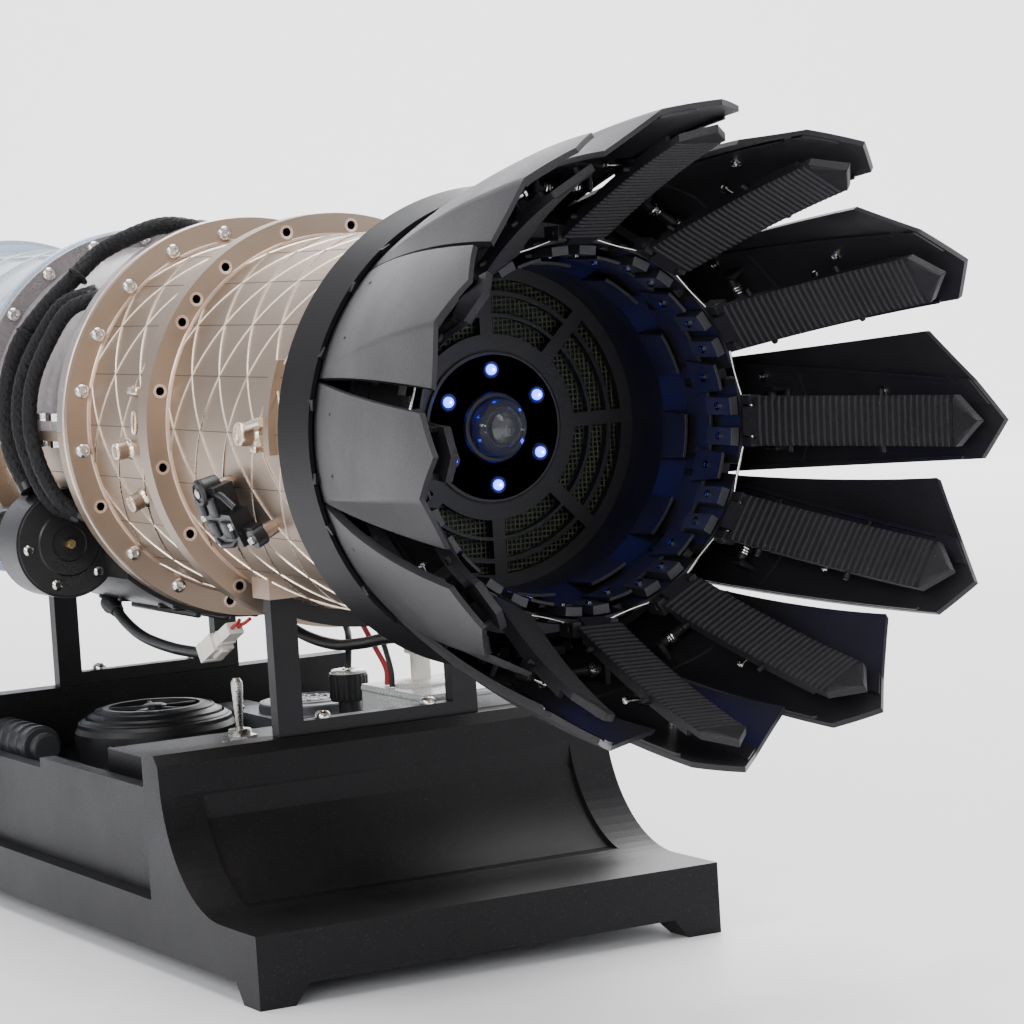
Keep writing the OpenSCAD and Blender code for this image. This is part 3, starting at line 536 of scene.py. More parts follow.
def outer_flap(i, phi):
    place = at_station(phi)
    body = f"outer_flap_{i}"
    skin = Shell()
    us = [k / 44 for k in range(45)]
    ws = [-1 + k / 9 for k in range(9)] + [k / 26 for k in range(27)]
    skin.slab([[flap_point(u, w) for w in ws] for u in us],
              [[flap_point(u, w, 1.2) for w in ws] for u in us], place)
    # step at the tip's edge and the inner stiffening frame
    flap_patch(skin, place, 0.950, 0.995, -0.02, 0.30, 1.1, 1.75)
    flap_patch(skin, place, 0.08, 0.93, 0.955, 0.995, 1.1, 1.9, rows=20, cols=2)
    flap_patch(skin, place, 0.08, 0.90, -0.01, 0.035, 1.1, 1.8, rows=20, cols=2)
    flap_patch(skin, place, 0.30, 0.325, 0.06, 0.94, 1.1, 1.7, rows=2, cols=12)
    # hinge tongue, drive horn, and the lugs that carry the spring barrel
    skin.box(place, (4.4, 12.8, 2.6), (162.8, 0, 50.1), 0.4)
    skin.box(place, (1.6, 3, 5.7), (FLAP_HINGE_X, 0, 47.35), 0.3)
    barrel_z = flap_point((BARREL_X - FLAP_X0) / 82, 0.5)[2] - 4.6
    for y in (-6.6, 6.6):
        skin.box(place, (5.2, 1.4, 5.0), (BARREL_X, y, barrel_z + 1.0), 0.4)
    skin.tube([(BARREL_X, y, barrel_z) for y in (-5.9, -5.5, 5.5, 5.9)],
              lambda t: 1.2 if 0.05 < t < 0.95 else 1.0, 16, place)
    shell_piece = skin.piece(f"petal_skin_{i}", "petal_black", "petal", body, sharp=32, bevel=0.22)
    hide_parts(f"outer_flap_{i}")

    steel = Shell()
    steel.tube([(FLAP_HINGE_X, y, FLAP_HINGE_R) for y in (-9.5, -3, 3, 9.5)], PIN_R, 12, place)
    steel.tube([(FLAP_HINGE_X, y, HORN_R) for y in (-1.5, -0.5, 0.5, 1.5)], 1.0, 12, place)
    for x, w in ((176.0, 0.12), (212.0, 0.22)):
        u = (x - FLAP_X0) / (flap_end_x(w) - FLAP_X0)
        p = Vector(flap_point(u, w, 1.2))
        below = place @ moved(p) @ rotated(math.pi, "X")
        steel.lathe([(1.35, -0.2), (1.35, 0.3), (1.15, 0.45), (0.85, 0.5), (0.8, 0.95),
                     (0.45, 1.05), (0.4, 0.8), (0.0, 0.8)], below, 16)
    # two coils wound on the barrel
    for side in (-1, 1):
        coil = []
        for k in range(61):
            a = 2 * math.pi * 3 * k / 60
            coil.append((BARREL_X + 1.5 * math.cos(a), side * 3.4 + 1.9 * (k / 60 - 0.5),
                         barrel_z + 1.5 * math.sin(a)))
        steel.tube(coil, 0.26, 8, place)
    steel.piece(f"petal_fittings_{i}", "bright_steel", "fasteners", body)


STRIP_LEN, STRIP_SLOPE = 63.2, math.radians(19.8)
STRIP_ARROW, STRIP_NECK = 6, 3
STRIP_HALF_W, NECK_HALF_W = 5.5, 3.2


def strip_point(t, y, drop):
    x = STRIP_HINGE_X + STRIP_LEN * math.cos(STRIP_SLOPE) * t
    z = 42 + STRIP_LEN * math.sin(STRIP_SLOPE) * t + 6.4 * t * (1 - t)
    return (x, y, z - drop)


def inner_strip(i, phi):
    place = at_station(phi)
    body = f"inner_strip_{i}"
    arrow = 1 - STRIP_ARROW / (STRIP_LEN * math.cos(STRIP_SLOPE))
    neck = STRIP_NECK / (STRIP_LEN * math.cos(STRIP_SLOPE))
    strip = Shell()

    def half_width(t):
        if t < neck:
            return NECK_HALF_W
        if t <= arrow:
            return STRIP_HALF_W
        return max(0.12, STRIP_HALF_W * (1 - t) / (1 - arrow))

    # ridged run: alternating lands and grooves across the strip, then the smooth raised arrow
    ridges = 31
    stations = [(0.0, 0.0), (neck - 0.001, 0.0), (neck, 0.0)]
    start, end = neck + 0.01, arrow - 0.015
    for k in range(ridges):
        a = start + (end - start) * k / ridges
        pitch = (end - start) / ridges
        stations += [(a, 0.0), (a + pitch * 0.12, 0.42), (a + pitch * 0.36, 0.42),
                     (a + pitch * 0.48, 0.0)]
    stations += [(end, 0.0), (end + 0.012, 0.55), (arrow, 0.55)]
    stations += [(arrow + (1 - arrow) * k / 6, 0.55 - 0.05 * k) for k in range(1, 7)]
    across = [-1 + 2 * k / 10 for k in range(11)]
    top, low = [], []
    for t, lift in stations:
        h = half_width(t)
        top.append([strip_point(t, h * s, 0) for s in across])
        low.append([strip_point(t, h * s, 1.4 + (lift if abs(s) < 0.95 else lift * 0.3))
                    for s in across])
    strip.slab(top, low, place)
    # side rails on the outer face, the knuckle and the upright that meets the flap
    for side in (-1, 1):
        rail_top = [[strip_point(t, side * y, -1.5) for y in (4.2, 5.2)] for t in
                    [0.08 + 0.72 * k / 16 for k in range(17)]]
        rail_low = [[strip_point(t, side * y, 0.1) for y in (4.2, 5.2)] for t in
                    [0.08 + 0.72 * k / 16 for k in range(17)]]
        strip.slab(rail_top, rail_low, place)
    x, _, z = strip_point(0.36, 0, 0)
    strip.box(place, (6.5, 1.8, 7.5), (x, 0, z + 3.4), 0.5)
    strip.tube([(STRIP_HINGE_X, y, STRIP_HINGE_R) for y in (-3.3, -1.1, 1.1, 3.3)], 1.4, 14, place)
    skin = strip.piece(f"strip_skin_{i}", "strip_black", "strip", body, sharp=30)
    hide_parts(f"inner_strip_{i}")

    steel = Shell()
    steel.tube([(STRIP_HINGE_X, y, STRIP_HINGE_R) for y in (-5.5, -2, 2, 5.5)], PIN_R, 12, place)
    steel.tube([(x, y, z + 5.6) for y in (-4.6, -1.5, 1.5, 4.6)], 0.55, 10, place)
    for side in (-1, 1):
        steel.lathe([(1.1, 0), (1.1, 0.5), (0.8, 0.7), (0.4, 0.7), (0.35, 0.5), (0, 0.5)],
                    place @ moved((x, side * 4.3, z + 5.6))
                    @ rotated(-side * math.pi / 2, "X"), 14)
    steel.piece(f"strip_fittings_{i}", "bright_steel", "fasteners", body)
    studs = Shell()
    for t in (0.16, 0.55):
        px, _, pz = strip_point(t, 0, -0.4)
        studs.tube([(px, y, pz) for y in (-7.0, -6.6, -2, 2, 6.6, 7.0)],
                   lambda s: 0.75 if 0.05 < s < 0.95 else 0.5, 10, place)
    studs.piece(f"strip_studs_{i}", "nozzle_black", "strip", body)


for number in range(1, PETALS + 1):
    outer_flap(number, petal_angle(number - 1))
    inner_strip(number, petal_angle(number - 1))


# ---------- nozzle ring, throat and flame holder ----------

def arc_plate(shell, x0, x1, phi0, phi1, r_in, r_out, cols=8, taper=0.0):
    """A curved plate round the engine between two stations and two angles."""
    sheets = []
    for r in (r_out, r_in):
        rows = []
        for share in (0.0, 0.5, 1.0):
            shrink = taper * share / 2
            span = phi1 - phi0 - 2 * shrink
            rows.append([polar(x0 + (x1 - x0) * share, r, phi0 + shrink + span * k / cols)
                         for k in range(cols + 1)])
        sheets.append(rows)
    shell.slab(*sheets)


def throat_plates():
    """Overlapping stepped tabs that line the throat behind the petals."""
    tabs, facets = Shell(), Shell()
    for k in range(PETALS):
        mid = petal_angle(k)
        arc_plate(tabs, 168.0, 177.5, mid - 11.5, mid + 11.5, 38.6, 39.5, 8, 2.0)
        arc_plate(tabs, 173.0, 184.5, mid + 9.0, mid + 21.0, 37.9, 38.7, 6, 3.0)
        arc_plate(facets, 176.5, 186.8, mid - 8.0, mid - 2.0, 38.5, 40.6, 4, 0.0)
        arc_plate(facets, 176.5, 186.8, mid + 2.0, mid + 8.0, 38.5, 40.6, 4, 0.0)
        arc_plate(tabs, 160.0, 170.0, mid - 3.0, mid + 14.0, 36.6, 37.4, 6, 1.5)
    tabs.piece("throat_tabs", "throat_grey", "duct", bevel=0.15)
    facets.piece("throat_facets", "throat_facet", "duct", bevel=0.15)
    # bright hinge wire that shows between the strips
    wire = Shell()
    for k in range(PETALS):
        mid = petal_angle(k + 0.5)
        wire.tube([polar(186.4, 42.0 - 0.5 * math.cos(math.radians(180 * n / 8 - 90)),
                         mid - 7 + 14 * n / 8) for n in range(9)], 0.3, 10)
    wire.piece("throat_wire", "bright_steel", "duct")
    pins = Shell()
    for k in range(PETALS):
        for shift, x in ((-5.0, 181.5), (5.0, 181.5), (15.0, 178.5)):
            place = at_station(petal_angle(k) + shift, x, 38.4 if shift < 15 else 37.8)
            turned = place @ rotated(math.pi, "X")
            pins.lathe([(0.9, -0.1), (0.9, 0.35), (0.7, 0.5), (0.0, 0.5)], turned, 14)
    pins.piece("throat_rivets", "dark_chrome", "duct")


def screen():
    """Woven wire behind the flame holder's slots."""
    wires = Shell()
    pitch, outer = 1.15, 34.6
    for axis in (0, 1):
        k = -int(outer / pitch)
        while k * pitch < outer:
            offset = k * pitch
            reach = math.sqrt(max(0.0, outer ** 2 - offset ** 2))
            k += 1
            if reach < 2:
                continue
            steps = max(4, int(reach * 2 / (pitch * 2)))
            path = []
            for s in range(steps + 1):
                along = -reach + 2 * reach * s / steps
                dip = 0.12 * (1 if s % 2 else -1) * (1 if axis else -1)
                spot = (142.6 + dip, offset, along) if axis else (142.6 + dip, along, offset)
                path.append((spot[0], spot[1], AXIS_H + spot[2]))
            wires.tube(path, 0.2, 4)
    wires.piece("flame_screen", "screen_olive", "duct", weld=False)
    back = Shell()
    back.lathe([(35.5, 0), (35.8, 0.8), (30, 1.4), (18, 1.0), (9, 1.4), (8.6, 0), (18, -0.6),
                (30, -0.6)], aft(0, 139.2), 72)
    back.piece("flame_screen_back", "duct_black", "duct")


LAMPS = 6
LAMP_STEP = 360 / LAMPS
LAMP_CIRCLE_R = 13.2


def lamps():
    cores = Shell()
    bezels = Shell()
    for k in range(LAMPS):
        front = aft(LAMP_STEP * k, HOLDER_X, LAMP_CIRCLE_R)
        bezels.lathe([(1.3, -0.3), (2.1, -0.2), (2.15, 0.25), (1.85, 0.5), (1.45, 0.45),
                      (1.3, 0.1)], front, 24)
        cores.lathe([(0.0, 1.62), (0.3, 1.58), (0.45, 1.45), (0.47, 1.3), (0.0, 1.2)], front, 20)
        lamp = bpy.data.lights.new(f"led_glow_{k}", "POINT")
        lamp.energy = 0.0009
        lamp.color = (0.05, 0.08, 1.0)
        lamp.shadow_soft_size = 0.001
        holder = bpy.data.objects.new(f"led_glow_{k}", lamp)
        spot = at_station(LAMP_STEP * k, HOLDER_X + 4.2, LAMP_CIRCLE_R)
        holder.location = spot.translation * MM
        to_scene(holder)
    cores.piece("led_cores", "led_core", "led")
    bezels.piece("led_bezels", "holder_black", "duct")


def lens():
    centre = aft(0, HOLDER_X)
    rim = Shell()
    rim.lathe([(6.7, -0.2), (8.0, -0.1), (8.2, 0.5), (7.8, 1.0), (7.0, 1.1), (6.7, 0.8)],
              centre, 40)
    rim.lathe([(16.9, -0.6), (17.4, -0.3), (17.4, -0.05), (16.9, 0.1), (16.6, 0.0)], centre, 72)
    rim.piece("lens_bezel", "holder_black", "duct")
    inner = Shell()
    inner.lathe([(5.6, -2.0), (5.6, 0.2), (4.8, 0.4), (4.3, -0.6), (3.1, -1.4), (2.9, -0.6),
                 (2.3, -0.5), (2.1, -1.6), (0.0, -1.8)], centre, 36)
    for k in range(8):
        a = k * math.pi / 4
        inner.box(centre @ rotated(a, "Z"), (1.6, 0.35, 1.0), (3.6, 0, -0.3), 0.08)
    inner.piece("lens_reflector", "dark_chrome", "lens")


throat_plates()
screen()
lamps()
lens()


# ---------- casings ----------

ROWS = 22
ROW = 360 / ROWS
PITCH = 16.3
ROW_PHI = -88.0
ROW_X = 67.8


def rib(shell, x0, phi0, x1, phi1, r, width, height, steps=5):
    """A low rib on a cylinder, between two points of it."""
    tangent = (x1 - x0, math.radians(phi1 - phi0) * r)
    length = math.hypot(*tangent)
    side = (-tangent[1] / length, tangent[0] / length)
    rows = []
    for k in range(steps + 1):
        x = x0 + (x1 - x0) * k / steps
        phi = phi0 + (phi1 - phi0) * k / steps
        row = []
        for a, b in ((-0.5, -0.15), (-0.26, height), (0.26, height), (0.5, -0.15)):
            row.append(polar(x + a * width * side[0],
                             r + b, phi + math.degrees(a * width * side[1] / r)))
        rows.append(row)
    shell.grid(rows)
    first = len(shell.verts) - 4 * (steps + 1)
    shell.faces.append((first + 3, first + 2, first + 1, first))
    last = len(shell.verts) - 4
    shell.faces.append((last, last + 1, last + 2, last + 3))
    for k in range(steps):
        a = first + 4 * k
        shell.faces.append((a + 3, a, a + 4, a + 7))


def clipped(x0, phi0, x1, phi1, low, high):
    """The part of a slanted line that lies between two stations, or None."""
    if max(x0, x1) <= low or min(x0, x1) >= high:
        return None
    ends = []
    for x, phi, ox, ophi in ((x0, phi0, x1, phi1), (x1, phi1, x0, phi0)):
        limit = min(max(x, low), high)
        share = 0 if limit == x else (limit - x) / (ox - x)
        ends.append((limit, phi + (ophi - phi) * share))
    if abs(ends[0][0] - ends[1][0]) < 0.8:
        return None
    return ends


def lattice(name, low, high, r, keep=lambda phi: True):
    """Triangular rib pattern and its axial lines between two stations; the ribs are painted lighter
    as highlight and the lines darker as painted groove shade.
    """
    ribs, lines = Shell(), Shell()
    for row in range(ROWS):
        phi = ROW_PHI + ROW * row
        shift = 0 if row % 2 == 0 else PITCH / 2
        if keep(phi):
            rib(lines, low + 0.3, phi, high - 0.3, phi, r, 0.30, 0.06, 8)
        if not (keep(phi) and keep(phi + ROW)):
            continue
        j = math.floor((low - ROW_X) / PITCH) - 1
        while ROW_X + shift + PITCH * j < high + PITCH:
            x = ROW_X + shift + PITCH * j
            j += 1
            for step in (-PITCH / 2, PITCH / 2):
                ends = clipped(x, phi, x + step, phi + ROW, low + 0.4, high - 0.4)
                if ends:
                    rib(ribs, *ends[0], *ends[1], r, 0.50, 0.28)
    # the ribs get the lighter champagne as painted highlight
    ribs.piece(f"{name}_ribs", "champagne_painted_highlight", "champagne", weld=False)
    # the axial lines carry the dark champagne as painted groove shade
    lines.piece(f"{name}_lines", "champagne_painted_groove_shade", "champagne", weld=False)


lattice("turbine_case", FLANGE_1_X, TURBINE_END_X, CASE_R)
lattice("afterburner_case", FLANGE_2_X, 146.0, CASE_R)
lattice("lower_case", FAN_FLANGE_X, 5.0, CASE_R, lambda phi: 96 < (phi % 360) < 264)


def flange_trim():
    """Rolled lips and fillets where the flanges meet the casings."""
    lips = Shell()
    r = CASE_R
    for x, inward in ((FLANGE_1_X, 1), (TURBINE_END_X, -1), (FLANGE_2_X, 1)):
        lips.lathe([(r - 0.3, 0), (r + 0.55, 0), (r + 0.25, inward * 0.4), (r + 0.1, inward * 1.2),
                    (r - 0.3, inward * 1.2)], aft(0, x), 96)
    lips.lathe([(50.2, 0.0), (52.15, 0.35), (52.15, 1.2), (51.9, 1.5)], aft(0, 8.7),
               96)
    lips.piece("flange_fillets", "champagne_flange", "champagne")


flange_trim()


def case_details():
    """Slotted plate, hooks, bosses and the frame round the side stub."""
    trim = Shell()
    # upright slot with a raised rim
    turns = [2 * math.pi * k / 24 for k in range(25)]
    slot = []
    for a in turns:
        rise = math.copysign(min(1, abs(math.sin(a)) * 1.15), math.sin(a))
        slot.append((1.0 * math.cos(a), 2.6 * rise, 0.25))
    trim.tube(slot, 0.4, 8, at_station(-86.6, 43, CASE_R))
    trim.box(at_station(-77, 44.5, CASE_R), (6.2, 2.0, 2.6), (0, 0, 0.9), 0.3)
    for x, phi, r in ((38, -95, 2.2), (38, -111, 2.2), (114.5, -88, 2.8)):
        base = at_station(phi, x, CASE_R)
        trim.lathe([(r + 0.6, -0.3), (r + 0.5, 0.2), (r + 0.15, 0.5), (r + 0.05, 0.9)], base, 28)
        trim.lathe([(r + 0.05, 3.3), (r + 0.05, 3.7), (r - 0.2, 3.95), (r - 0.8, 3.95),
                    (r - 0.9, 3.5), (0, 3.4)], base, 28)
    # side stub between the boss and the upright bar
    trim.tube([(116.5, 1.6, 2.4), (119, 2.2, 2.4), (122.5, 2.8, 2.2), (124.2, 3.0, 2.0)], 1.1, 14,
              at_station(-88, 0, CASE_R))
    trim.box(at_station(-88, 119, CASE_R), (3.0, 1.6, 3.0), (0, -3.4, 0.9), 0.3)
    # the trim is in the lighter champagne, painted highlight
    trim.piece("case_trim", "champagne_painted_highlight", "champagne", bevel=0.12)


case_details()


# ---------- screws ----------

HEAD = [(1.9, 0.0), (1.95, 0.35), (1.75, 0.85), (1.3, 1.22), (0.98, 1.3), (0.92, 1.2),
        (0.85, 0.45), (0.0, 0.38)]


def machine_screws():
    heads = Shell()
    for k, phi in enumerate(FLANGE_1_ANGLES):
        if k not in EMPTY_HOLES:
            heads.lathe(HEAD, aft(phi, FLANGE_1_X, BOLT_R), 24)
    for phi in (-52, -34, -16, 2, 20, 38, 56):
        heads.lathe(HEAD, aft(phi, FAN_FLANGE_X, 48.4), 24)
    for x in (-74, 74):
        for y in (-14.5, 14.5):
            heads.lathe([(r * 1.05, z * 1.25) for r, z in HEAD],
                        moved((x, y, 56.5)), 24)
    gear = at_station(LOBE_PHI, LOBE_X, LOBE_R)
    for a in (150, 215, 280):
        heads.lathe([(r * 0.84, z) for r, z in HEAD],
                    along_x(gear) @ rotated(math.radians(a), "Z")
                    @ moved((11.2, 0, 0)), 20)
    obj = heads.piece("machine_screw_heads", "bright_steel", "fasteners", sharp=30)
    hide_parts("machine_screws")
    holes = Shell()
    spots = [(phi, FLANGE_2_X, HOLE_R) for phi in FLANGE_2_ANGLES]
    spots += [(FLANGE_1_ANGLES[k], FLANGE_1_X, BOLT_R) for k in EMPTY_HOLES]
    for spot in spots:
        holes.lathe([(1.75, -0.05), (1.75, 0.18), (1.1, 0.12), (1.05, -0.05)],
                    aft(*spot), 20)
    holes.piece("flange_hole_rims", "champagne_flange", "champagne")


machine_screws()


# ---------- stand and brackets ----------

def stand_details():
    """Base screws low on the ledge and a thin lighter strip along the switch shelf, a painted
    highlight on its edge.
    """
    screws = Shell()
    for x in (-60, -52, 20, 58):
        place = moved((x, -61.2, 9.5)) @ rotated(math.pi / 2, "X")
        screws.lathe([(1.5, -0.1), (1.5, 0.05), (1.2, 0.13), (0.7, 0.14), (0.6, -0.1), (0, -0.1)],
                     place, 18)
    screws.piece("base_screws", "bright_steel", "fasteners")
    # a thin lighter strip on the shelf's edge: painted highlight
    edge = Shell()
    edge.box(Matrix.Identity(4), (55.6, 0.5, 0.6), (42.6, -47.8, 47.1), 0.15)
    edge.piece("shelf_painted_highlight", "canister_grey", "stand")


stand_details()


# ---------- tray ----------

TRAY_Z = 36
SWITCH_AT = (35, -20, 0)
BLOWER_AT = (-34, -15, TRAY_Z)
SPEAKER_AT = (-22, 27, TRAY_Z)
KNOB_AT = (4, 26, TRAY_Z)
SPOUT_AT = (46, 27, 0)
CANISTER_AT = (-69, -46, 41.6)


def switch_details():
    """Thread of the bushing and the washer under its nut."""
    thread = Shell()
    profile = []
    for k in range(7):
        z = 49.0 + 0.25 * k
        profile += [(2.95, z), (2.75, z + 0.12)]
    thread.lathe(profile, moved(SWITCH_AT), 28)
    thread.lathe([(5.1, 47.0), (5.1, 47.35), (4.7, 47.5), (2.9, 47.5)],
                 moved(SWITCH_AT), 32)
    thread.piece("switch_thread", "brushed_steel", "switch_metal")


def blower_details():
    """Stepped rings, spokes and hub of the blower's grille."""
    rings = Shell()
    centre = moved(BLOWER_AT)
    for r, z in ((20.6, 10.3), (18.0, 12.0), (16.0, 13.3)):
        rings.lathe([(r - 0.5, z - 0.6), (r - 0.35, z + 0.35), (r + 0.35, z + 0.1),
                     (r + 0.5, z - 0.9)], centre, 72)
    for k in range(5):
        a = math.radians(20 + 72 * k)
        rings.box(centre @ rotated(a, "Z"), (11.5, 1.4, 1.0), (7.5, 0, 13.2), 0.3)
    rings.lathe([(3.4, 12.6), (3.4, 13.9), (2.6, 14.3), (0, 14.3)], centre, 32)
    rings.piece("blower_grille", "tray_black", "tray_plastic")


def speaker_details():
    """Diaphragm, its holes and the four corner screws."""
    face = Shell()
    disc = moved(SPEAKER_AT)
    face.lathe([(14.8, 11.2), (14.6, 11.7), (13.4, 11.9), (13.0, 11.4)], disc, 64)
    face.lathe([(7.9, 11.2), (7.7, 11.8), (6.4, 11.9), (6.2, 12.1), (4.2, 12.3), (4.0, 12.0),
                (0, 11.9)], disc, 48)
    face.piece("speaker_face", "speaker_face", "speaker")
    holes = Shell()
    for ring, count in ((2.4, 6), (5.2, 10)):
        for k in range(count):
            a = 2 * math.pi * k / count
            holes.lathe([(0.55, 12.2), (0.5, 12.42), (0.0, 12.44)],
                        disc @ moved((ring * math.cos(a), ring * math.sin(a), 0)), 10)
    for k in range(4):
        a = math.pi / 4 + k * math.pi / 2
        holes.lathe([(1.3, 9.4), (1.25, 10.1), (0.8, 10.3), (0, 10.3)],
                    disc @ moved((21.5 * math.cos(a), 21.5 * math.sin(a), 0)), 18)
    holes.piece("speaker_screws", "dark_chrome", "fasteners")


def knob_details():
    """Metal cap and ribbed black grip of the knob."""
    knob = Shell()
    spot = moved(KNOB_AT)
    knob.lathe([(4.6, 21.3), (4.6, 21.9), (4.2, 22.2), (1.6, 22.2), (1.5, 22.6), (0, 22.6)], spot,
               32)
    knob.piece("knob_plate", "brushed_steel", "switch_metal")
    grip = Shell()
    grip.lathe([(3.05, 0.05), (3.1, 13.8), (5.0, 13.85), (5.06, 14.2), (5.06, 21.2), (4.7, 21.45),
                (4.5, 21.45)], spot, 40)
    for k in range(22):
        a = 2 * math.pi * k / 22
        grip.box(spot @ rotated(a, "Z"), (0.7, 0.8, 6.2), (4.95, 0, 17.6), 0.15)
    grip.piece("knob_grip", "tray_black", "tray_plastic")


def tank_details():
    """Lid of the tank and the collar round its spout."""
    lid = Shell()
    lid.box(Matrix.Identity(4), (36.8, 32.8, 1.8), (49, 33, 56.4), 0.6)
    lid.lathe([(7.2, 57.2), (7.2, 58.0), (6.6, 58.4), (5.2, 58.4), (5.0, 57.5)],
              moved(SPOUT_AT), 36)
    lid.piece("tank_lid", "tank_milky", "tank", bevel=0.2)


def canister_details():
    """Ribs and end cap of the canister."""
    canister = Shell()
    body = moved(CANISTER_AT) @ rotated(math.pi / 2, "Y")
    for k in range(5):
        z = 3 + 6 * k
        canister.lathe([(5.1, z - 0.3), (5.75, z + 0.2), (5.75, z + 1.8), (5.1, z + 2.3)], body, 36)
    canister.lathe([(3.3, 30.5), (4.1, 30.9), (4.1, 33.2), (3.3, 33.6)], body, 32)
    canister.piece("canister_ribs", "canister_grey", "tray_plastic")


def tray_rails():
    """Low rails on the tray's floor."""
    rim = Shell()
    for side in (-1, 1):
        rim.box(Matrix.Identity(4), (1.2, 30, 0.8), (-58 + 4 * side, 8, 37.6), 0.2)
        rim.box(Matrix.Identity(4), (40, 1.2, 1.2), (-10, side * 51, 37.2), 0.3)
    rim.piece("tray_rails", "tray_black", "tray_plastic")


switch_details()
blower_details()
speaker_details()
knob_details()
tank_details()
canister_details()
tray_rails()


# ---------- leads and hoses ----------

LEADS = {
    "lead_front": ("lead_black", 1.5, [(-50, -19, 77.2), (-38, -19.5, 72.5), (-24, -20, 69.6),
        (-4, -20, 68.2), (16.8, -20, 68.5)]),
    "lead_rear": ("lead_black", 1.5, [(0, 8, 73.9), (14, 10, 69.6), (30, 11, 68.4), (46, 11, 70),
        (62, 10.5, 72.5), (78, 10, 74), (92, 10, 76), (97, 10, 79),
        (97.5, 10, 82.3)]),
    "lead_pump": ("lead_black", 0.9, [(4, 26, 57.6), (5, 26, 62), (10, 24, 68), (17, 20, 72),
        (22, 16, 79), (23, 15, 83)]),
    "lead_tank_red": ("lead_red", 0.7, [(40, 20, 57.7), (40, 20, 62), (38, 18, 68), (34, 16, 76),
        (33, 16, 83)]),
    "lead_tank_black": ("lead_black", 0.7, [(45, 19, 57.7), (45, 19, 62), (43, 18, 70),
        (40, 17, 78), (40, 17, 83)]),
}

HOSES = {
    "hose_a": (2.3, [(-0.5, 49.4, -5), (-3, 53, -15), (-6, 54, -23), (-14, 53.8, -33),
        (-14, 53.8, -44), (-20, 53.8, -55), (-27, 53.8, -67), (-28, 53.8, -82),
        (-26, 53.8, -96), (-20, 53.8, -107.4)]),
    "hose_b": (2.0, [(-6, 48.6, -44), (-9.4, 53, -52), (-14, 53.2, -62), (-19, 53.2, -75),
        (-19.5, 53.2, -88), (-15, 53.2, -100), (-9, 53.2, -111), (-6.4, 48.7, -118)]),
    "hose_c": (2.0, [(0.6, 48.6, -46), (-3, 53, -54), (-7.5, 53, -64), (-11.6, 53, -76),
        (-12, 53, -88), (-8.6, 53, -100), (-2.6, 53, -110), (0.4, 48.7, -117)]),
}


def leads():
    for name, (finish, r, points) in LEADS.items():
        lead = Shell()
        lead.tube(smooth_route(points, 10), r, 14)
        lead.piece(name, finish, "cable", weld=False)
    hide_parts("wiring")
    boots = Shell()
    for points, r in ((LEADS["lead_front"][2], 1.5), (LEADS["lead_rear"][2], 1.5)):
        a, b = Vector(points[0]), Vector(points[1])
        turn = (b - a).to_track_quat("Z", "Y").to_matrix().to_4x4()
        boots.lathe([(r + 1.3, -1.2), (r + 1.3, 1.0), (r + 0.8, 2.2), (r + 0.35, 5.0), (r, 5.2)],
                    moved(a) @ turn, 20)
    boots.piece("lead_boots", "lead_black", "cable")
    plug = Shell()
    turn = (moved((18, -20, 68.6)) @ rotated(math.radians(8), "Z")
            @ rotated(math.radians(62), "Y"))
    for y in (-1.0, 1.0):
        plug.tube([(0, y, 15.6), (0, y, 17.4), (0.3, y * 1.2, 19.4), (0.2, y * 1.6, 21.5)], 0.5, 8,
                  turn)
    plug.piece("plug_wires", "lead_red", "cable")
    shell = Shell()
    shell.box(turn, (5.2, 6.4, 1.6), (0, 0, 1.4), 0.3)
    shell.box(turn, (1.2, 2.6, 5.0), (2.6, 0, 6.0), 0.3)
    shell.box(turn, (3.8, 5.0, 1.0), (0, 0, 10.2), 0.25)
    shell.piece("plug_latch", "white_nylon", "white_nylon")


HOSE_LINE_R = 53.8


def hoses():
    for name, (r, points) in HOSES.items():
        hose = Shell()
        route = smooth_route([polar(*p) for p in points], 14)
        n = len(route)
        hose.tube(route, lambda s, r=r, n=n: r * (1 + 0.035 * math.sin(s * n * 2.1)), 18)
        hose.piece(name, "hose_sleeve", "hose", weld=False, sharp=60)
    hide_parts("oil_hoses")
    ends = Shell()
    for name, (r, points) in HOSES.items():
        for first, second in ((points[0], points[1]), (points[-1], points[-2])):
            a, b = polar(*first), polar(*second)
            turn = (b - a).to_track_quat("Z", "Y").to_matrix().to_4x4()
            ends.lathe([(0, -0.3), (r * 0.7, -0.3), (r + 0.3, 0.1), (r + 0.35, 2.2),
                        (r + 0.15, 2.6), (r - 0.1, 2.6)], moved(a) @ turn, 22)
    ends.piece("hose_ferrules", "gearbox_black", "hose")
    ties = Shell()
    for x, phi in ((-12, -43), (-24, -62)):
        place = at_station(phi, x, HOSE_LINE_R)
        turns = [2 * math.pi * k / 20 for k in range(21)]
        ties.tube([(2.6 * math.sin(a), 0.0, 2.6 * math.cos(a)) for a in turns], 0.45, 8, place)
    ties.piece("hose_ties", "hose_sleeve", "hose")


leads()
hoses()


# ---------- fan casing, rotors, gearbox, motor and valve block ----------

def fan_case_details():
    """Bands, hoops and axial ribs of the fan casing."""
    bands = Shell()
    for x in (-66.5, -164.5):
        bands.lathe([(46.0, 0), (49.2, 0.2), (49.2, 1.0), (46.8, 1.3), (46.0, 1.3)],
                    aft(0, x), 96)
    bands.lathe([(50.3, 0.3), (51.0, 0.8), (51.0, 3.2), (50.3, 3.7)], aft(0, -66),
                96)
    bands.piece("fan_case_bands", "fan_rim_blue", "fan_metal")
    hoops = Shell()
    for x in (-150, -128, -106, -84):
        hoops.lathe([(45.8, 0), (47.0, 0.5), (47.0, 2.5), (45.8, 3.0)], aft(0, x),
                    96)
    for k in range(12):
        rib(hoops, -165, 15 + 30 * k, -68, 15 + 30 * k, 46.0, 1.6, 0.8, 6)
    hoops.piece("fan_case_hoops", "fan_metal", "fan_metal", weld=False)


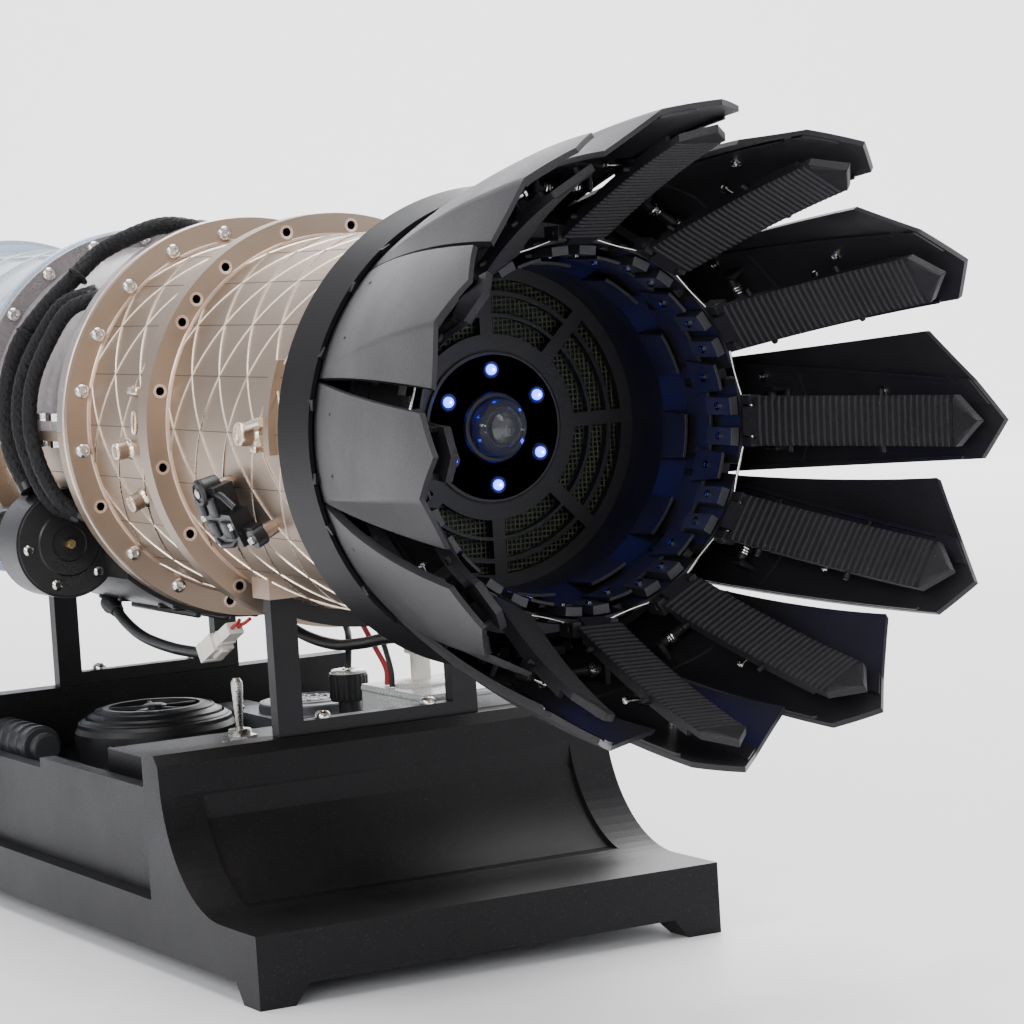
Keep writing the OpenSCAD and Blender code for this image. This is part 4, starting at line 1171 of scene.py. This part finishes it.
def motor_details():
    """Rings and end bolts of the drive motor."""
    motor = aft(LOBE_PHI, 0, LOBE_R)
    rings = Shell()
    for z in (-88, -70, -58.5):
        rings.lathe([(6.9, z), (7.35, z + 0.3), (7.35, z + 1.4), (6.9, z + 1.7)], motor, 40)
    rings.lathe([(5.2, -92.6), (6.4, -92.4), (6.6, -91.6), (6.9, -91.4)], motor, 36)
    rings.piece("motor_rings", "motor_steel", "motor_metal")
    bolts = Shell()
    for k in range(4):
        a = math.radians(45 + 90 * k)
        bolts.lathe([(0.9, -54.9), (0.9, -54.3), (0.6, -54.0), (0, -54.0)],
                    motor @ moved((5.3 * math.cos(a), 5.3 * math.sin(a), 0)), 14)
    bolts.piece("motor_bolts", "bright_steel", "fasteners")


def gearbox_details():
    """Ribs under the gearbox and the round cover of its lobe."""
    belly = Shell()
    for k in range(5):
        phi = 158 + 9 * k
        belly.box(at_station(phi, -26, 53), (46, 1.6, 1.6), (0, 0, 0.5), 0.4)
    for x in (-52, -38, -10, 0):
        belly.box(at_station(184, x, 53), (2.2, 36, 1.2), (0, 0, -2.6), 0.4)
    belly.piece("gearbox_ribs", "gearbox_black", "gearbox")
    lobe = aft(LOBE_PHI, LOBE_X, LOBE_R)
    cover = Shell()
    cover.lathe([(14.0, -0.1), (13.7, 0.5), (8.6, 0.6), (8.2, 1.1), (4.8, 1.2), (4.5, 0.8),
                 (0, 0.8)], lobe, 56)
    cover.piece("gearbox_cover", "gearbox_black", "gearbox")


def valve_details():
    """Cap, pipes, covers and screws of the valve block."""
    valve = Shell()
    cap = at_station(-103, 97, CASE_R + 7.8)
    valve.lathe([(3.2, -0.3), (3.35, 0.2), (3.0, 0.9), (2.2, 1.1), (2.1, 0.7), (0, 0.6)], cap, 28)
    valve.tube([(97, 3.0, 5.6), (100, 3.6, 6.2), (105, 2.4, 6.0), (109, -0.5, 5.6)], 0.9, 12,
               at_station(-107, 0, CASE_R))
    valve.tube([(94, -3, 6.8), (97, -4.5, 7.6), (103, -4, 7.4), (108, -1, 6.0)], 0.7, 12,
               at_station(-113, 0, CASE_R))
    for x, phi, size in ((94.0, -107, (4, 4.5, 2.2)), (100.0, -107, (4.5, 5, 1.6)),
                         (96.0, -113, (5, 4, 1.8)), (104.0, -113, (5, 4.4, 2.0))):
        valve.box(at_station(phi, x, CASE_R + 7.0), size, (0, 0, 0.2), 0.4)
    valve.piece("valve_covers", "gearbox_black", "gearbox", bevel=0.15)
    silver = Shell()
    silver.lathe([(1.2, 0.5), (1.2, 1.1), (0.8, 1.35), (0, 1.3)], cap, 18)
    for x, phi, r in ((113, -116, 52.4), (106.5, -112.0, 53.1), (91.5, -110.5, 52.6)):
        silver.lathe([(1.1, 0), (1.1, 0.6), (0.8, 0.95), (0.35, 0.95), (0.3, 0.6), (0, 0.6)],
                     at_station(phi, x, r), 18)
    silver.piece("valve_screws", "bright_steel", "fasteners")


fan_case_details()
motor_details()
gearbox_details()
valve_details()


# ---------- floor and light ----------

def studio():
    floor_mat = material("studio_floor", (0.88, 0.88, 0.90), 0.5, vary=0.01, relief=0.0,
                         specular=0.35)
    sweep = Shell()
    rows = []
    spread = 9000
    for k in range(26):
        if k < 6:
            along, up = -6000 + 1600 * k, 0
        else:
            a = math.pi / 2 * (k - 6) / 12
            if k <= 18:
                along, up = 2400 + 1500 * math.sin(a), 1500 * (1 - math.cos(a))
            else:
                along, up = 3900, 1500 + 700 * (k - 18)
        rows.append([(along, across, up) for across in (-spread, 0, spread)])
    turn = rotated(math.radians(152), "Z")
    sweep.grid(rows, turn)

    mesh = bpy.data.meshes.new("studio_sweep")
    mesh.from_pydata([v * MM for v in sweep.verts], [], sweep.faces)
    mesh.materials.append(floor_mat)
    mesh.shade_smooth()
    floor = bpy.data.objects.new("studio_sweep", mesh)
    to_scene(floor)

    world = bpy.data.worlds.new("studio_world")
    world.use_nodes = True
    background = world.node_tree.nodes["Background"]
    background.inputs["Color"].default_value = (0.90, 0.91, 0.95, 1)
    background.inputs["Strength"].default_value = 0.62
    bpy.context.scene.world = world

    def area(name, place, target, size, energy, colour=(1, 1, 1)):
        lamp = bpy.data.lights.new(name, "AREA")
        lamp.shape = "RECTANGLE"
        lamp.size, lamp.size_y = size
        lamp.energy = energy
        lamp.color = colour
        obj = bpy.data.objects.new(name, lamp)
        obj.location = place
        aim = Vector(target) - Vector(place)
        obj.rotation_euler = aim.to_track_quat("-Z", "Y").to_euler()
        to_scene(obj)

    area("key_left", (0.25, -1.5, 1.05), (0.05, 0, 0.12), (1.1, 0.9), 17)
    area("top_soft", (0.1, 0.1, 1.7), (0.1, 0, 0.1), (1.5, 1.2), 22)
    area("front_right", (1.7, 0.55, 0.85), (0.15, 0, 0.12), (0.9, 0.8), 6)
    area("camera_side", (1.35, -1.15, 0.5), (0.2, 0.03, 0.13), (0.9, 0.6), 11)
    area("wall_wash", (-1.5, 0.8, 1.9), (-3.4, 1.8, 0.55), (3.4, 0.7), 150)
    area("floor_wash", (-0.9, 0.5, 2.2), (-0.9, 0.5, 0), (2.6, 1.6), 40)
    area("back_rim", (-0.9, 1.2, 0.9), (0.1, 0, 0.15), (1.2, 0.8), 16)


studio()
